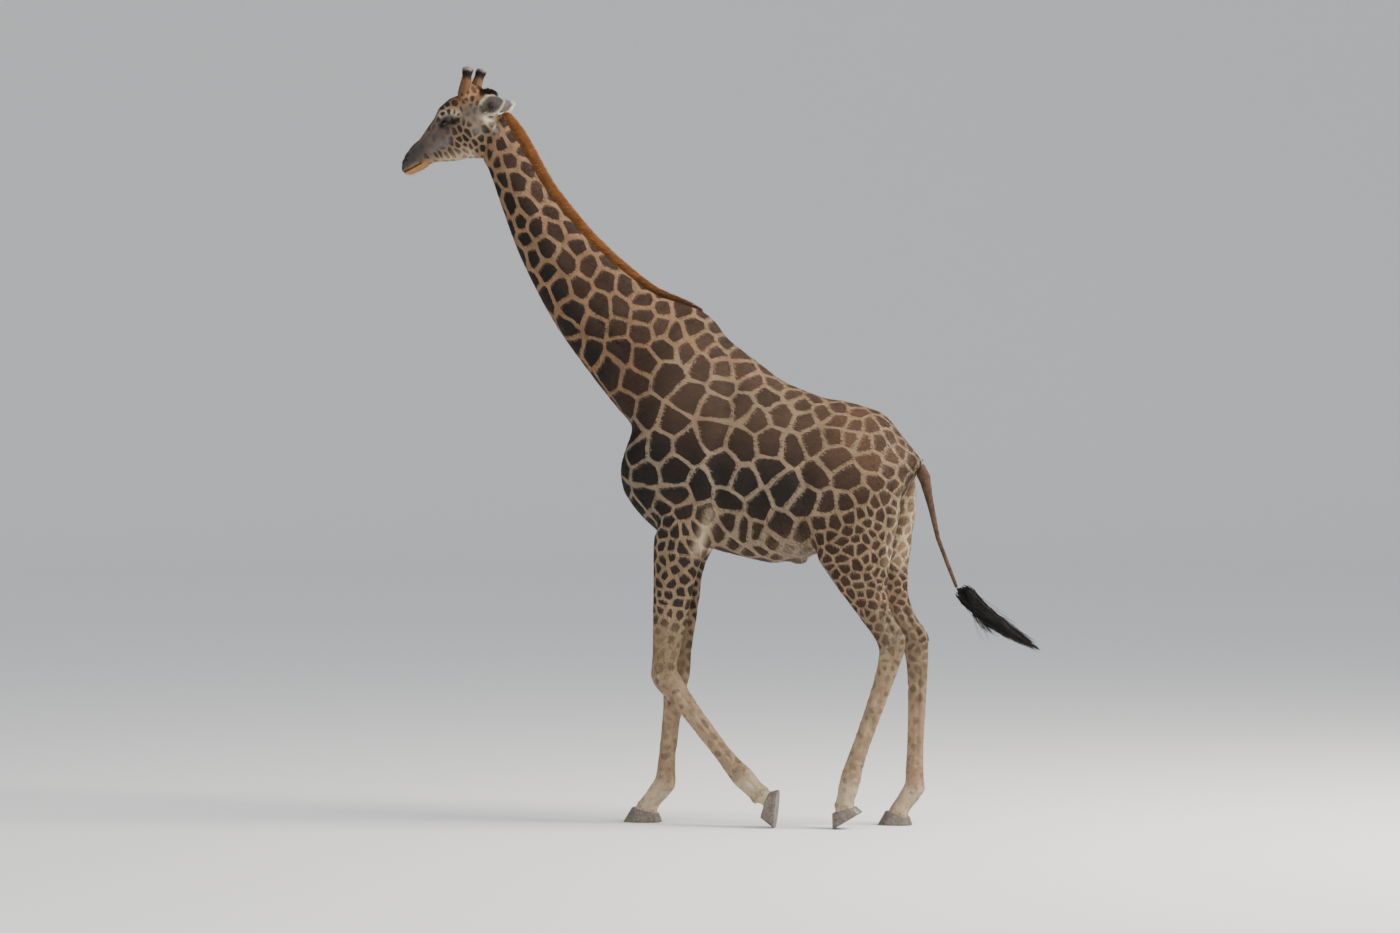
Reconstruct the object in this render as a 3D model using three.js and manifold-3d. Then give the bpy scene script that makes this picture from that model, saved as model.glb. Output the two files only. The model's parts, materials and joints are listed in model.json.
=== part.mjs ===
// A walking bull giraffe, life size, in millimetres. +Z is up, the animal faces -X, and its left side
// is -Y. X = 0 is near the withers, and the floor is Z = 0. The finished group is moved to the middle
// of its footprint.
import * as THREE from 'three';
import { LoftGeometry } from 'three/addons/geometries/LoftGeometry.js';
import { mergeVertices } from 'three/addons/utils/BufferGeometryUtils.js';
import Module from 'manifold-3d';

const wasm = await Module();
wasm.setup();

// ---------------------------------------------------------------- driving dimensions
const LEFT = -1;
const RIGHT = 1;
const GAP = 0.4; // between neighbouring pieces

const BODY_SIDES = 20;
const LIMB_SIDES = 12;
const HEAD_SIDES = 18;

const HEAD_PIVOT = [-1390, 20, 4175]; // behind the jaw, where the head turns on the neck
const HEAD_YAW = 12.7; // degrees, nose away from the left side
const HEAD_PITCH = 33; // degrees, nose down
const MUZZLE = [-612, 0, -188]; // tip of the muzzle from the pivot, before the pitch

const EYE_RADIUS = 23;
const EYE = [437, 84, 50]; // along the head from the muzzle, out from the middle, above the axis
const HORN_OUTLINE = [ // radius and height above the base
  [0, -30], [38, -26], [46, 6], [43, 45], [35, 90], [30, 125], [33, 156], [31, 175], [0, 186],
];
const HORN_BASE = [620, 57, 130];
const HORN_TIP = [748, 98, 246];
const EAR_BASE = [668, 66, -2];
const EAR_TIPS = { left: [866, 166, -72], right: [765, 236, 14] };
const EAR_HEIGHT = 124;
const EAR_THICKNESS = 9;

const MANE_HEIGHT = { poll: 78, withers: 34 };
const MANE_HALF = 17;
const MANE_DEPTH = 22; // how far the mane's foot goes under the back line
const MANE_END = 20; // the body section at which the mane runs out
const MANE_SPLIT = 8; // the body section where the mane is parted in two

const HOOF = {
  fore: { length: 240, half: 90, toe: 92, heel: 52 },
  hind: { length: 214, half: 80, toe: 88, heel: 50 },
};
const HOOF_CLEFT = 5; // half the slit between the two claws
const TOE_FLAT = 7; // how much of a lowered toe tip is worn flat on the floor

// ---------------------------------------------------------------- materials
const material = (color, roughness) =>
  new THREE.MeshStandardMaterial({ color, roughness, metalness: 0 });

const PATCHED_COAT = material(0x5a4230, 0.85);
const PALE_COAT = material(0x9a8162, 0.85);
const FACE_COAT = material(0x6d5a48, 0.85);
const MANE_HAIR = material(0xa0632f, 0.8);
const BLACK_HAIR = material(0x14110f, 0.7);
const HORN_COAT = material(0x7a563a, 0.8);
const EAR_COAT = material(0xb3aba0, 0.85);
const EYE_DARK = material(0x120c09, 0.15);
const HOOF_HORN = material(0x3b3733, 0.6);

// ---------------------------------------------------------------- shaping tools
const lerp = THREE.MathUtils.lerp;
const radians = THREE.MathUtils.degToRad;
const bulge = (value, power) => Math.sign(value) * Math.abs(value) ** (2 / power);

/**
 * One closed section between two outline points of a side view. The section is `half` wide each way,
 * `power` 2 is an ellipse and more is boxier, and `egg` above 0 is wider at `over` than at `under`.
 */
function ring({ under, over, y = 0, half, power = 2, egg = 0 }, sides) {
  return Array.from({ length: sides }, (_, i) => {
    const turn = (2 * Math.PI * i) / sides;
    const along = bulge(Math.cos(turn), power);
    const out = bulge(Math.sin(turn), power) * half * (1 + egg * along);
    const share = (1 + along) / 2;
    return new THREE.Vector3(
      lerp(under[0], over[0], share),
      y + out,
      lerp(under[1], over[1], share),
    );
  });
}

/** A smooth run of values through the given ones, `steps` to a span. */
function smooth(values, steps) {
  const curve = new THREE.CatmullRomCurve3(values.map((v) => new THREE.Vector3(v, 0, 0)));
  curve.curveType = 'catmullrom';
  return curve.getPoints((values.length - 1) * steps).map((p) => p.x);
}

/** Fills in `steps` sections to each span of a list of sections. */
function refine(sections, steps) {
  const run = (read) => smooth(sections.map(read), steps);
  const underX = run((s) => s.under[0]);
  const underZ = run((s) => s.under[1]);
  const overX = run((s) => s.over[0]);
  const overZ = run((s) => s.over[1]);
  const y = run((s) => s.y ?? 0);
  const half = run((s) => s.half);
  const power = run((s) => s.power ?? 2);
  const egg = run((s) => s.egg ?? 0);
  return half.map((_, i) => ({
    under: [underX[i], underZ[i]],
    over: [overX[i], overZ[i]],
    y: y[i],
    half: half[i],
    power: power[i],
    egg: egg[i],
  }));
}

const middle = (points) =>
  points.reduce((sum, p) => sum.add(p), new THREE.Vector3()).divideScalar(points.length);

/** The direction that a ring of points turns anticlockwise about. */
function turningAxis(points) {
  const centre = middle(points);
  const axis = new THREE.Vector3();
  points.forEach((p, i) => {
    const next = points[(i + 1) % points.length].clone().sub(centre);
    axis.add(p.clone().sub(centre).cross(next));
  });
  return axis.normalize();
}

/** Skins rings into one closed body. `parted` moves the first ring off its neighbour by the gap. */
function loft(rings, parted = false) {
  const ahead = middle(rings[1]).sub(middle(rings[0])).normalize();
  const inwards = turningAxis(rings[0]).dot(ahead) < 0;
  const rows = rings.map((points) => (inwards ? [...points].reverse() : points));
  if (parted) {
    rows[0] = rows[0].map((p) => p.clone().addScaledVector(ahead, GAP * 1.5));
  }
  return new LoftGeometry(rows, { capStart: true, capEnd: true });
}

const sectionsToRings = (sections, sides) => sections.map((s) => ring(s, sides));

// ---------------------------------------------------------------- joining and cutting
/** Only shared positions are kept, so that neighbouring faces meet at the same vertices. */
function welded(geometry) {
  const bare = new THREE.BufferGeometry().copy(geometry);
  bare.deleteAttribute('normal');
  bare.deleteAttribute('uv');
  return mergeVertices(bare, 1e-3);
}

/**
 * The shape with every face moved outwards by `amount`. Each vertex takes the shift that best moves
 * all of the faces round it, which is the least squares answer of one small system of equations.
 */
function grown(geometry, amount) {
  const shape = welded(geometry);
  const { position } = shape.attributes;
  const corners = Array.from(shape.index.array);
  const sums = Array.from({ length: position.count }, () => ({
    square: Array(9).fill(0),
    right: new THREE.Vector3(),
  }));
  const point = (i) => new THREE.Vector3().fromBufferAttribute(position, i);
  for (let i = 0; i < corners.length; i += 3) {
    const face = corners.slice(i, i + 3);
    const normal = new THREE.Triangle(...face.map(point)).getNormal(new THREE.Vector3());
    const [x, y, z] = normal.toArray();
    const product = [x * x, x * y, x * z, y * x, y * y, y * z, z * x, z * y, z * z];
    for (const corner of face) {
      product.forEach((value, k) => {
        sums[corner].square[k] += value;
      });
      sums[corner].right.addScaledVector(normal, amount);
    }
  }
  const steady = 0.01; // keeps the answer short where the faces are nearly level
  sums.forEach(({ square, right }, i) => {
    const system = new THREE.Matrix3(...square.map((value, k) => value + (k % 4 === 0 ? steady : 0)));
    const moved = point(i).add(right.applyMatrix3(system.invert()));
    position.setXYZ(i, ...moved.toArray());
  });
  return shape;
}

function toSolid(geometry) {
  const bare = welded(geometry);
  const mesh = new wasm.Mesh({
    numProp: 3,
    vertProperties: new Float32Array(bare.attributes.position.array),
    triVerts: new Uint32Array(bare.index.array),
  });
  return new wasm.Manifold(mesh);
}

function fromSolid(solid) {
  const { vertProperties, triVerts } = solid.getMesh();
  const geometry = new THREE.BufferGeometry();
  geometry.setAttribute('position', new THREE.BufferAttribute(vertProperties, 3));
  geometry.setIndex(new THREE.BufferAttribute(triVerts, 1));
  geometry.computeVertexNormals();
  return geometry;
}

const worldSolid = (mesh, amount = 0) =>
  toSolid(grown(mesh.geometry, amount).applyMatrix4(mesh.matrixWorld));

/** Cuts the neighbours, with the gap round them, out of a placed mesh. */
function carve(mesh, neighbours) {
  let solid = worldSolid(mesh);
  for (const neighbour of neighbours) {
    solid = solid.subtract(worldSolid(neighbour, GAP));
  }
  const largest = solid.decompose().sort((a, b) => b.volume() - a.volume())[0];
  mesh.geometry = fromSolid(largest).applyMatrix4(mesh.matrixWorld.clone().invert());
}

function join(...geometries) {
  return fromSolid(geometries.map(toSolid).reduce((sum, solid) => sum.add(solid)));
}

function node(name, geometry, look, parent) {
  const mesh = new THREE.Mesh(geometry, look);
  mesh.name = name;
  parent.add(mesh);
  return mesh;
}

/** An ellipsoid of the given radii, moved to a place. */
const lump = (radii, place) =>
  new THREE.SphereGeometry(1, 8, 6).scale(...radii).translate(...place);

// ---------------------------------------------------------------- neck and trunk
// From the throat to the rump: the underline point, the skin of the back, and half the width.
const body = (under, over, half, egg, power = 2) => ({ under, over, half, egg, power });

const NECK = [
  body([-1452, 4030], [-1322, 4330], 60, 0),
  body([-1425, 3985], [-1250, 4200], 72, -0.05),
  body([-1395, 3915], [-1175, 4085], 78, -0.1),
  body([-1320, 3710], [-1050, 3870], 86, -0.12),
  body([-1230, 3470], [-895, 3678], 97, -0.14),
  body([-1110, 3225], [-745, 3515], 112, -0.16),
  body([-965, 2980], [-555, 3350], 130, -0.18),
  body([-815, 2775], [-370, 3218], 155, -0.2),
  body([-675, 2595], [-195, 3160], 180, -0.25),
];
const TRUNK = [
  body([-555, 2450], [-70, 3110], 202, -0.32),
  body([-520, 2370], [-5, 3060], 216, -0.36),
  body([-590, 2165], [50, 2985], 236, -0.36),
  body([-565, 2000], [115, 2920], 255, -0.34),
  body([-440, 1835], [200, 2855], 276, -0.3),
  body([-250, 1695], [300, 2780], 296, -0.26),
  body([-40, 1665], [420, 2690], 314, -0.2),
  body([270, 1590], [665, 2593], 334, -0.14),
  body([420, 1587], [780, 2575], 334, -0.12),
  body([750, 1675], [1010, 2505], 302, -0.08),
  body([910, 1765], [1115, 2390], 262, -0.04),
  body([1050, 1875], [1200, 2285], 200, 0),
  body([1165, 2035], [1262, 2200], 105, 0),
];
const NECK_SPLIT = 5; // the section where the neck is parted in two
const FILL_IN = 2; // sections to each span of the two lists above

const bodySections = refine([...NECK, ...TRUNK], FILL_IN);
const bodyRings = sectionsToRings(bodySections, BODY_SIDES);
const neckMiddle = NECK_SPLIT * FILL_IN;
const neckEnd = NECK.length * FILL_IN;

const giraffe = new THREE.Group();

const neckUpper = node('neck_upper', loft(bodyRings.slice(0, neckMiddle + 1)), PATCHED_COAT, giraffe);
const neckLower = node(
  'neck_lower',
  loft(bodyRings.slice(neckMiddle, neckEnd + 1), true),
  PATCHED_COAT,
  giraffe,
);
const sheath = lump([60, 34, 36], [505, 0, 1600]);
const trunk = node(
  'trunk',
  join(loft(bodyRings.slice(neckEnd), true), sheath),
  PATCHED_COAT,
  giraffe,
);

// ---------------------------------------------------------------- legs
// A limb is a chain of joints. Each row of its profile is a place along one bone of the chain, how far
// the limb reaches ahead of and behind the chain there, and half its width.
const row = (bone, at, ahead, behind, half, power = 2) => ({ bone, at, ahead, behind, half, power });

const FORE_PROFILE = [
  row(0, 0, 60, 60, 30),
  row(0, 0.3, 125, 130, 66),
  row(0, 0.62, 160, 178, 92),
  row(0, 0.85, 165, 205, 102),
  row(0, 0.97, 162, 206, 102),
  row(1, 0.06, 158, 176, 98),
  row(1, 0.14, 150, 150, 92),
  row(1, 0.28, 137, 130, 82),
  row(1, 0.45, 125, 121, 72),
  row(1, 0.65, 107, 104, 62),
  row(1, 0.82, 92, 88, 57),
  row(1, 0.93, 90, 84, 62),
  row(1, 1, 90, 88, 64),
  row(2, 0.08, 94, 80, 60),
  row(2, 0.2, 79, 68, 50),
  row(2, 0.35, 66, 58, 43),
  row(2, 0.55, 63, 54, 41),
  row(2, 0.75, 58, 51, 42),
  row(2, 0.88, 62, 60, 48),
  row(3, 0, 66, 78, 54),
  row(3, 0.3, 62, 72, 53),
  row(3, 0.65, 60, 60, 55),
  row(3, 0.95, 66, 66, 68),
  row(3, 1.12, 60, 58, 62),
];
const HIND_PROFILE = [
  row(0, 0, 90, 140, 60),
  row(0, 0.2, 160, 190, 92),
  row(0, 0.42, 220, 206, 116),
  row(0, 0.75, 278, 215, 130),
  row(0, 0.95, 300, 212, 130),
  row(1, 0.08, 286, 194, 124),
  row(1, 0.18, 262, 168, 114),
  row(1, 0.33, 224, 116, 98),
  row(1, 0.5, 181, 72, 80),
  row(1, 0.62, 152, 58, 69),
  row(1, 0.74, 128, 62, 60),
  row(1, 0.84, 108, 84, 57),
  row(1, 0.93, 98, 94, 59),
  row(2, 0.02, 86, 74, 60),
  row(2, 0.12, 68, 72, 54),
  row(2, 0.28, 56, 66, 46),
  row(2, 0.5, 52, 60, 42),
  row(2, 0.72, 54, 54, 41),
  row(2, 0.88, 60, 58, 46),
  row(3, 0, 62, 72, 52),
  row(3, 0.3, 60, 68, 51),
  row(3, 0.65, 58, 58, 53),
  row(3, 0.95, 62, 62, 62),
  row(3, 1.12, 56, 54, 57),
];
const LOWER_START = { fore: 12, hind: 13 }; // the row where the cannon starts
const FOOT_START = 19; // the row of the fetlock

/** The side view direction of a bone, [x, z]. */
function boneDirection(joints, bone) {
  const from = joints[bone];
  const to = joints[bone + 1];
  return new THREE.Vector2(to[0] - from[0], to[2] - from[2]).normalize();
}

/** The direction at a place along a bone, easing into the next bone's at its ends. */
function easedDirection(joints, { bone, at }) {
  const own = boneDirection(joints, bone);
  const near = at < 0.5 ? bone - 1 : bone + 1;
  if (near < 0 || near > joints.length - 2) return own;
  const ease = 0.3;
  const share = Math.max(0, 0.5 * (1 - Math.min(at, Math.max(0, 1 - at)) / ease));
  return own.lerp(boneDirection(joints, near), share).normalize();
}

function limbSection(joints, part) {
  const from = joints[part.bone];
  const to = joints[part.bone + 1];
  const [x, y, z] = from.map((v, k) => lerp(v, to[k], part.at));
  const along = easedDirection(joints, part);
  const ahead = new THREE.Vector2(along.y, -along.x);
  return {
    under: [x - ahead.x * part.behind, z - ahead.y * part.behind],
    over: [x + ahead.x * part.ahead, z + ahead.y * part.ahead],
    y,
    half: part.half,
    power: part.power,
  };
}

/** One claw of a hoof, toe tip at the origin and sole on Z = 0, on the side that `side` says. */
function clawGeometry({ length, half, toe, heel }, side) {
  const levels = [0, 0.12, 0.55, 1];
  const around = 10;
  const rings = levels.map((level) => {
    const front = length * 0.23 * level;
    const back = length * (1 - 0.08 * level);
    const width = half * (level === 0 ? 0.96 : lerp(1, 0.8, level));
    return Array.from({ length: around }, (_, i) => {
      const turn = (Math.PI * i) / (around - 1);
      const share = (1 - Math.cos(turn)) / 2;
      const out = HOOF_CLEFT + (width - HOOF_CLEFT) * Math.max(0, Math.sin(turn)) ** 0.75;
      const height = level * lerp(toe, heel, share);
      return new THREE.Vector3(lerp(front, back, share), side * out, height);
    });
  });
  return loft(rings);
}

/** Tips a claw up by the heel and wears its toe tip flat on the floor. */
function tippedClaw(size, side, heelUp) {
  const claw = clawGeometry(size, side);
  if (heelUp === 0) return claw;
  claw.rotateY(-radians(heelUp)).translate(0, 0, -TOE_FLAT);
  const below = new THREE.BoxGeometry(2000, 2000, 1000).translate(0, 0, -500);
  return fromSolid(toSolid(claw).subtract(toSolid(below)));
}

// The joints: blade or hip, elbow or stifle, knee or hock, fetlock, and the middle of the hoof's top.
const LEGS = [
  {
    name: 'fore_left',
    kind: 'fore',
    joints: [[-75, -150, 2440], [-195, -203, 1705], [-292, -165, 915], [184, -168, 300], [303, -170, 192]],
    toe: [386, -170],
    heelUp: 84,
  },
  {
    name: 'fore_right',
    kind: 'fore',
    joints: [[-75, 150, 2440], [-240, 200, 1690], [-262, 138, 935], [-334, 96, 248], [-452, 90, 78]],
    toe: [-590, 88],
    heelUp: 0,
  },
  {
    name: 'hind_left',
    kind: 'hind',
    joints: [[1000, -150, 2230], [905, -188, 1720], [1108, -175, 1085], [838, -172, 290], [806, -172, 128]],
    toe: [737, -172],
    heelUp: 31,
  },
  {
    name: 'hind_right',
    kind: 'hind',
    joints: [[1035, 150, 2230], [965, 188, 1720], [1206, 168, 1075], [1190, 150, 235], [1092, 146, 76]],
    toe: [966, 145],
    heelUp: 0,
  },
];

function buildLeg({ name, kind, joints, toe, heelUp }) {
  const profile = kind === 'fore' ? FORE_PROFILE : HIND_PROFILE;
  const rings = sectionsToRings(profile.map((part) => limbSection(joints, part)), LIMB_SIDES);
  const knee = LOWER_START[kind];
  const upper = node(`leg_${name}_upper`, loft(rings.slice(0, knee + 1)), PATCHED_COAT, giraffe);
  node(`leg_${name}_lower`, loft(rings.slice(knee, FOOT_START + 1), true), PALE_COAT, giraffe);
  const foot = node(`leg_${name}_foot`, loft(rings.slice(FOOT_START), true), PALE_COAT, giraffe);
  const claws = [LEFT, RIGHT].map((side) => {
    const claw = tippedClaw(HOOF[kind], side, heelUp);
    const mesh = node(`hoof_${name}_${side === LEFT ? 'a' : 'b'}`, claw, HOOF_HORN, giraffe);
    mesh.position.set(toe[0], toe[1], 0);
    return mesh;
  });
  return { upper, foot, claws };
}

const legs = LEGS.map(buildLeg);

// ---------------------------------------------------------------- head
// Along the head from the muzzle to the poll: jaw line point, forehead line point, half the width.
const HEAD = [
  body([-4, -16], [-3, 4], 20, 0, 2.2),
  body([5, -38], [8, 18], 40, 0, 2.2),
  body([30, -50], [32, 38], 52, 0, 2.3),
  body([75, -64], [62, 55], 58, 0.05, 2.4),
  body([112, -75], [118, 84], 58, 0.05, 2.4),
  body([145, -78], [152, 94], 54, 0.05, 2.3),
  body([180, -76], [205, 96], 52, 0.08, 2.2),
  body([222, -93], [258, 114], 56, 0.12, 2.2),
  body([280, -130], [308, 131], 65, 0.14, 2.3),
  body([345, -166], [362, 146], 76, 0.18, 2.3),
  body([400, -187], [425, 182], 86, 0.16, 2.3),
  body([452, -222], [510, 190], 88, 0.1, 2.2),
  body([485, -246], [570, 176], 86, 0, 2.2),
  body([545, -226], [640, 150], 84, 0.02, 2.2),
  body([615, -180], [700, 118], 76, 0.05, 2.2),
  body([690, -110], [752, 84], 58, 0, 2.2),
  body([735, -40], [782, 44], 30, 0, 2),
];

const headYaw = new THREE.Group();
headYaw.position.set(...HEAD_PIVOT);
headYaw.rotation.z = -radians(HEAD_YAW);
giraffe.add(headYaw);

const headPitch = new THREE.Group();
headPitch.position.set(...MUZZLE);
headPitch.rotation.y = -radians(HEAD_PITCH);
headYaw.add(headPitch);

const mirrored = ([along, out, above], side) => new THREE.Vector3(along, side * out, above);

const skull = loft(sectionsToRings(HEAD, HEAD_SIDES));
const brows = [LEFT, RIGHT].map((side) =>
  lump([60, 26, 44], [EYE[0] + 8, side * (EYE[1] - 13), EYE[2] + 8]));
const pedestals = [LEFT, RIGHT].map((side) => lump([74, 44, 54], [644, side * 46, 128]));
const head = node('head', join(skull, ...brows, ...pedestals), FACE_COAT, headPitch);

function buildEye(side) {
  const ball = new THREE.SphereGeometry(EYE_RADIUS, 10, 8);
  const eye = node(side === LEFT ? 'eye_left' : 'eye_right', ball, EYE_DARK, headPitch);
  eye.position.copy(mirrored(EYE, side));
  return eye;
}

/** A skin covered horn: a broad foot, a waist and a blunt knob. */
function buildHorn(side) {
  const points = HORN_OUTLINE.map(([r, z]) => new THREE.Vector2(r, z));
  const horn = node(
    side === LEFT ? 'ossicone_left' : 'ossicone_right',
    new THREE.LatheGeometry(points, 10),
    HORN_COAT,
    headPitch,
  );
  const base = mirrored(HORN_BASE, side);
  const axis = mirrored(HORN_TIP, side).sub(base).normalize();
  horn.position.copy(base);
  horn.quaternion.setFromUnitVectors(new THREE.Vector3(0, 1, 0), axis);
  return horn;
}

/** A cupped leaf: rows of crescent sections from the stalk to the tip, hollow to the outside. */
function earGeometry(length) {
  const rows = 8;
  const arc = 5;
  const rings = Array.from({ length: rows }, (_, i) => {
    const at = i / (rows - 1);
    const tall = (EAR_HEIGHT / 2) * Math.max(0.08, Math.sin(Math.PI * (0.17 + 0.83 * at) ** 0.8) ** 0.75);
    const cup = lerp(30, 12, at) * Math.min(1, 0.5 + at * 2);
    const thick = lerp(EAR_THICKNESS * 1.8, EAR_THICKNESS * 0.8, at);
    const point = (turn, depth, reach) =>
      new THREE.Vector3(length * at, depth * Math.cos(turn), reach * Math.sin(turn));
    const outer = Array.from({ length: arc + 1 }, (__, k) =>
      point(-Math.PI / 2 + (Math.PI * k) / arc, cup, tall));
    const inner = Array.from({ length: arc - 1 }, (__, k) =>
      point(Math.PI / 2 - (Math.PI * (k + 1)) / arc, Math.max(cup - thick, 1), tall - thick * 0.4));
    return [...outer, ...inner];
  });
  return loft(rings);
}

function buildEar(side) {
  const base = mirrored(EAR_BASE, side);
  const along = mirrored(side === LEFT ? EAR_TIPS.left : EAR_TIPS.right, side).sub(base);
  const geometry = earGeometry(along.length());
  along.normalize();
  const inward = new THREE.Vector3(0.35, side * -1, 0.1);
  const up = new THREE.Vector3().crossVectors(along, inward).normalize().multiplyScalar(-side);
  const back = new THREE.Vector3().crossVectors(up, along);
  const ear = node(side === LEFT ? 'ear_left' : 'ear_right', geometry, EAR_COAT, headPitch);
  ear.quaternion.setFromRotationMatrix(new THREE.Matrix4().makeBasis(along, back, up));
  ear.position.copy(base);
  return ear;
}

const headFittings = [LEFT, RIGHT].flatMap((side) => [buildEye(side), buildHorn(side), buildEar(side)]);

// ---------------------------------------------------------------- mane and tail
/** A fin of hair standing on the back line from one body section to another. */
function maneGeometry(first, last, parted) {
  const count = bodySections.length;
  const sections = [];
  for (let i = first; i <= last; i += 1) {
    const before = bodySections[Math.max(i - 1, 0)].over;
    const after = bodySections[Math.min(i + 1, count - 1)].over;
    const run = new THREE.Vector2(after[0] - before[0], after[1] - before[1]).normalize();
    const out = new THREE.Vector2(-run.y, run.x);
    const [x, z] = bodySections[i].over;
    const tall = lerp(MANE_HEIGHT.poll, MANE_HEIGHT.withers, i / MANE_END);
    const rise = tall * Math.min(1, 0.55 + i * 0.25, (MANE_END + 1.2 - i) * 0.3);
    sections.push({
      under: [x - out.x * MANE_DEPTH, z - out.y * MANE_DEPTH],
      over: [x + out.x * rise, z + out.y * rise],
      y: 0,
      half: MANE_HALF,
      egg: -0.35,
    });
  }
  return loft(sectionsToRings(sections, 6), parted);
}
const maneUpper = node('mane_upper', maneGeometry(0, MANE_SPLIT, false), MANE_HAIR, giraffe);
const maneLower = node('mane_lower', maneGeometry(MANE_SPLIT, MANE_END, true), MANE_HAIR, giraffe);

const TAIL = [
  body([1215, 2120], [1255, 2215], 34, 0),
  body([1240, 2068], [1306, 2125], 30, 0),
  body([1263, 2000], [1321, 2005], 26, 0),
  body([1290, 1910], [1336, 1912], 22, 0),
  body([1333, 1740], [1368, 1742], 18, 0),
  body([1388, 1595], [1422, 1600], 16, 0),
  body([1431, 1488], [1462, 1496], 14, 0),
  body([1450, 1440], [1478, 1448], 12, 0),
];
const TUFT = [
  body([1436, 1452], [1478, 1470], 14, 0),
  body([1446, 1395], [1520, 1476], 40, 0),
  body([1476, 1348], [1565, 1462], 50, 0),
  body([1540, 1300], [1618, 1368], 52, 0),
  body([1610, 1243], [1680, 1305], 48, 0),
  body([1700, 1175], [1778, 1242], 44, 0),
  body([1800, 1112], [1878, 1166], 36, 0),
  body([1905, 1064], [1958, 1118], 26, 0),
  body([1986, 1030], [2000, 1070], 12, 0),
];
const tail = node('tail', loft(sectionsToRings(TAIL, 8)), PALE_COAT, giraffe);
const tuft = node('tail_tuft', loft(sectionsToRings(TUFT, 10)), BLACK_HAIR, giraffe);

// ---------------------------------------------------------------- fitting the pieces together
// A neighbour is cut out of a piece while it is still whole and smooth, so the order runs from the
// outside in.
giraffe.updateMatrixWorld(true);
carve(maneUpper, [head, ...headFittings, neckUpper, neckLower]);
carve(maneLower, [neckUpper, neckLower, trunk]);
carve(tuft, [tail]);
carve(tail, [trunk]);
carve(neckUpper, [head, ...headFittings]);
carve(head, headFittings);
carve(trunk, legs.map((leg) => leg.upper));
legs.forEach(({ foot, claws }) => carve(foot, claws));

const footprint = new THREE.Box3().setFromObject(giraffe, true).getCenter(new THREE.Vector3());
giraffe.position.set(-footprint.x, -footprint.y, 0);

export default giraffe;
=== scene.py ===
# %% [markdown]
# # A bull giraffe in mid stride
# This lesson dresses a life-size giraffe for a museum. The packed solids give its size and its pose.
# The script grows one skin over all of the flesh, carves the face, limbs and muscles into it, works out
# the patches of the coat, and then sets hair on it: short tufts, the mane and the tail tuft.
# Everything is in metres. +Z is up, the animal faces -X, and its left side is -Y.

# %% The frame
import json
import math

import bmesh
import bpy
import numpy as np
from mathutils import Matrix, Vector, noise
from mathutils.bvhtree import BVHTree
from mathutils.kdtree import KDTree

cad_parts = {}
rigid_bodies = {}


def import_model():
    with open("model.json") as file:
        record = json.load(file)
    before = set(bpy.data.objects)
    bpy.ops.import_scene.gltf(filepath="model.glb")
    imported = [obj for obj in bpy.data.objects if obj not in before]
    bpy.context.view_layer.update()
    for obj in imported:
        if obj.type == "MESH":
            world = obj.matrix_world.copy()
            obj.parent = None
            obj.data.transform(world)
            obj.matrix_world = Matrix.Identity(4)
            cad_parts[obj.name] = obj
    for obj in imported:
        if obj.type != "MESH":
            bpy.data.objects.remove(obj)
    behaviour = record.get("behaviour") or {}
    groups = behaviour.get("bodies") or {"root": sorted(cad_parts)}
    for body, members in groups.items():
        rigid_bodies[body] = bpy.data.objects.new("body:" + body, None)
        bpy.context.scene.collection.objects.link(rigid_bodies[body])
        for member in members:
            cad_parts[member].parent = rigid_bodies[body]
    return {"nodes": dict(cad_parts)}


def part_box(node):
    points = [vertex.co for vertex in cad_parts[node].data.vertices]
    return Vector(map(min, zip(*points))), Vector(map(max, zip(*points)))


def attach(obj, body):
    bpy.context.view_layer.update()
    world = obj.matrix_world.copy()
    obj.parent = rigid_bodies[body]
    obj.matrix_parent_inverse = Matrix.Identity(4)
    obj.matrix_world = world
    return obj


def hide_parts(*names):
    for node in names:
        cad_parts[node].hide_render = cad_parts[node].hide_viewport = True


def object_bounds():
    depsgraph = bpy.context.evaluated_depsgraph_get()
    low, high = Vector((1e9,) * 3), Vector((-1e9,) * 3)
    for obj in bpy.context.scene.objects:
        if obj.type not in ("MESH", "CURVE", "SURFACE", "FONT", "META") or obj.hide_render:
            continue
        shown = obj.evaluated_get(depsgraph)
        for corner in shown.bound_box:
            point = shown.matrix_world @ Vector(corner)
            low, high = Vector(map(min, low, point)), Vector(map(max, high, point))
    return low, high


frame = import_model()
CAD_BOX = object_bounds()
RANDOM = np.random.default_rng(7)
noise.seed_set(7)  # without a seed of its own, vector noise would change with the clock
print("solids:", len(frame["nodes"]), "box:", CAD_BOX)

# %% [markdown]
# ## Camera, floor and light
# A long lens far from the animal keeps its proportions true. The floor and the round wall far behind
# are one bent sheet, so no edge shows between them from any side. Three big area lights stand in for
# studio softboxes: a warm one high behind the tail, a wide one near the camera, and a low one that
# lifts the dark underside.

# %% Camera
CAMERA_PLACE = Vector((4.632, -26.856, 2.505))
CAMERA_TURN = math.radians(10.0)
CAMERA_DIP = math.radians(0.707)
IMAGE_WIDTH = 1400
FOCAL_PIXELS = 4500

lens = bpy.data.cameras.new("camera")
lens.sensor_width = 36.0
lens.lens = lens.sensor_width * FOCAL_PIXELS / IMAGE_WIDTH
camera = bpy.data.objects.new("camera", lens)
camera.location = CAMERA_PLACE
camera.rotation_euler = (math.radians(90) - CAMERA_DIP, 0, CAMERA_TURN)
bpy.context.scene.collection.objects.link(camera)
bpy.context.scene.camera = camera
print("lens:", round(lens.lens, 1), "mm")


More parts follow.
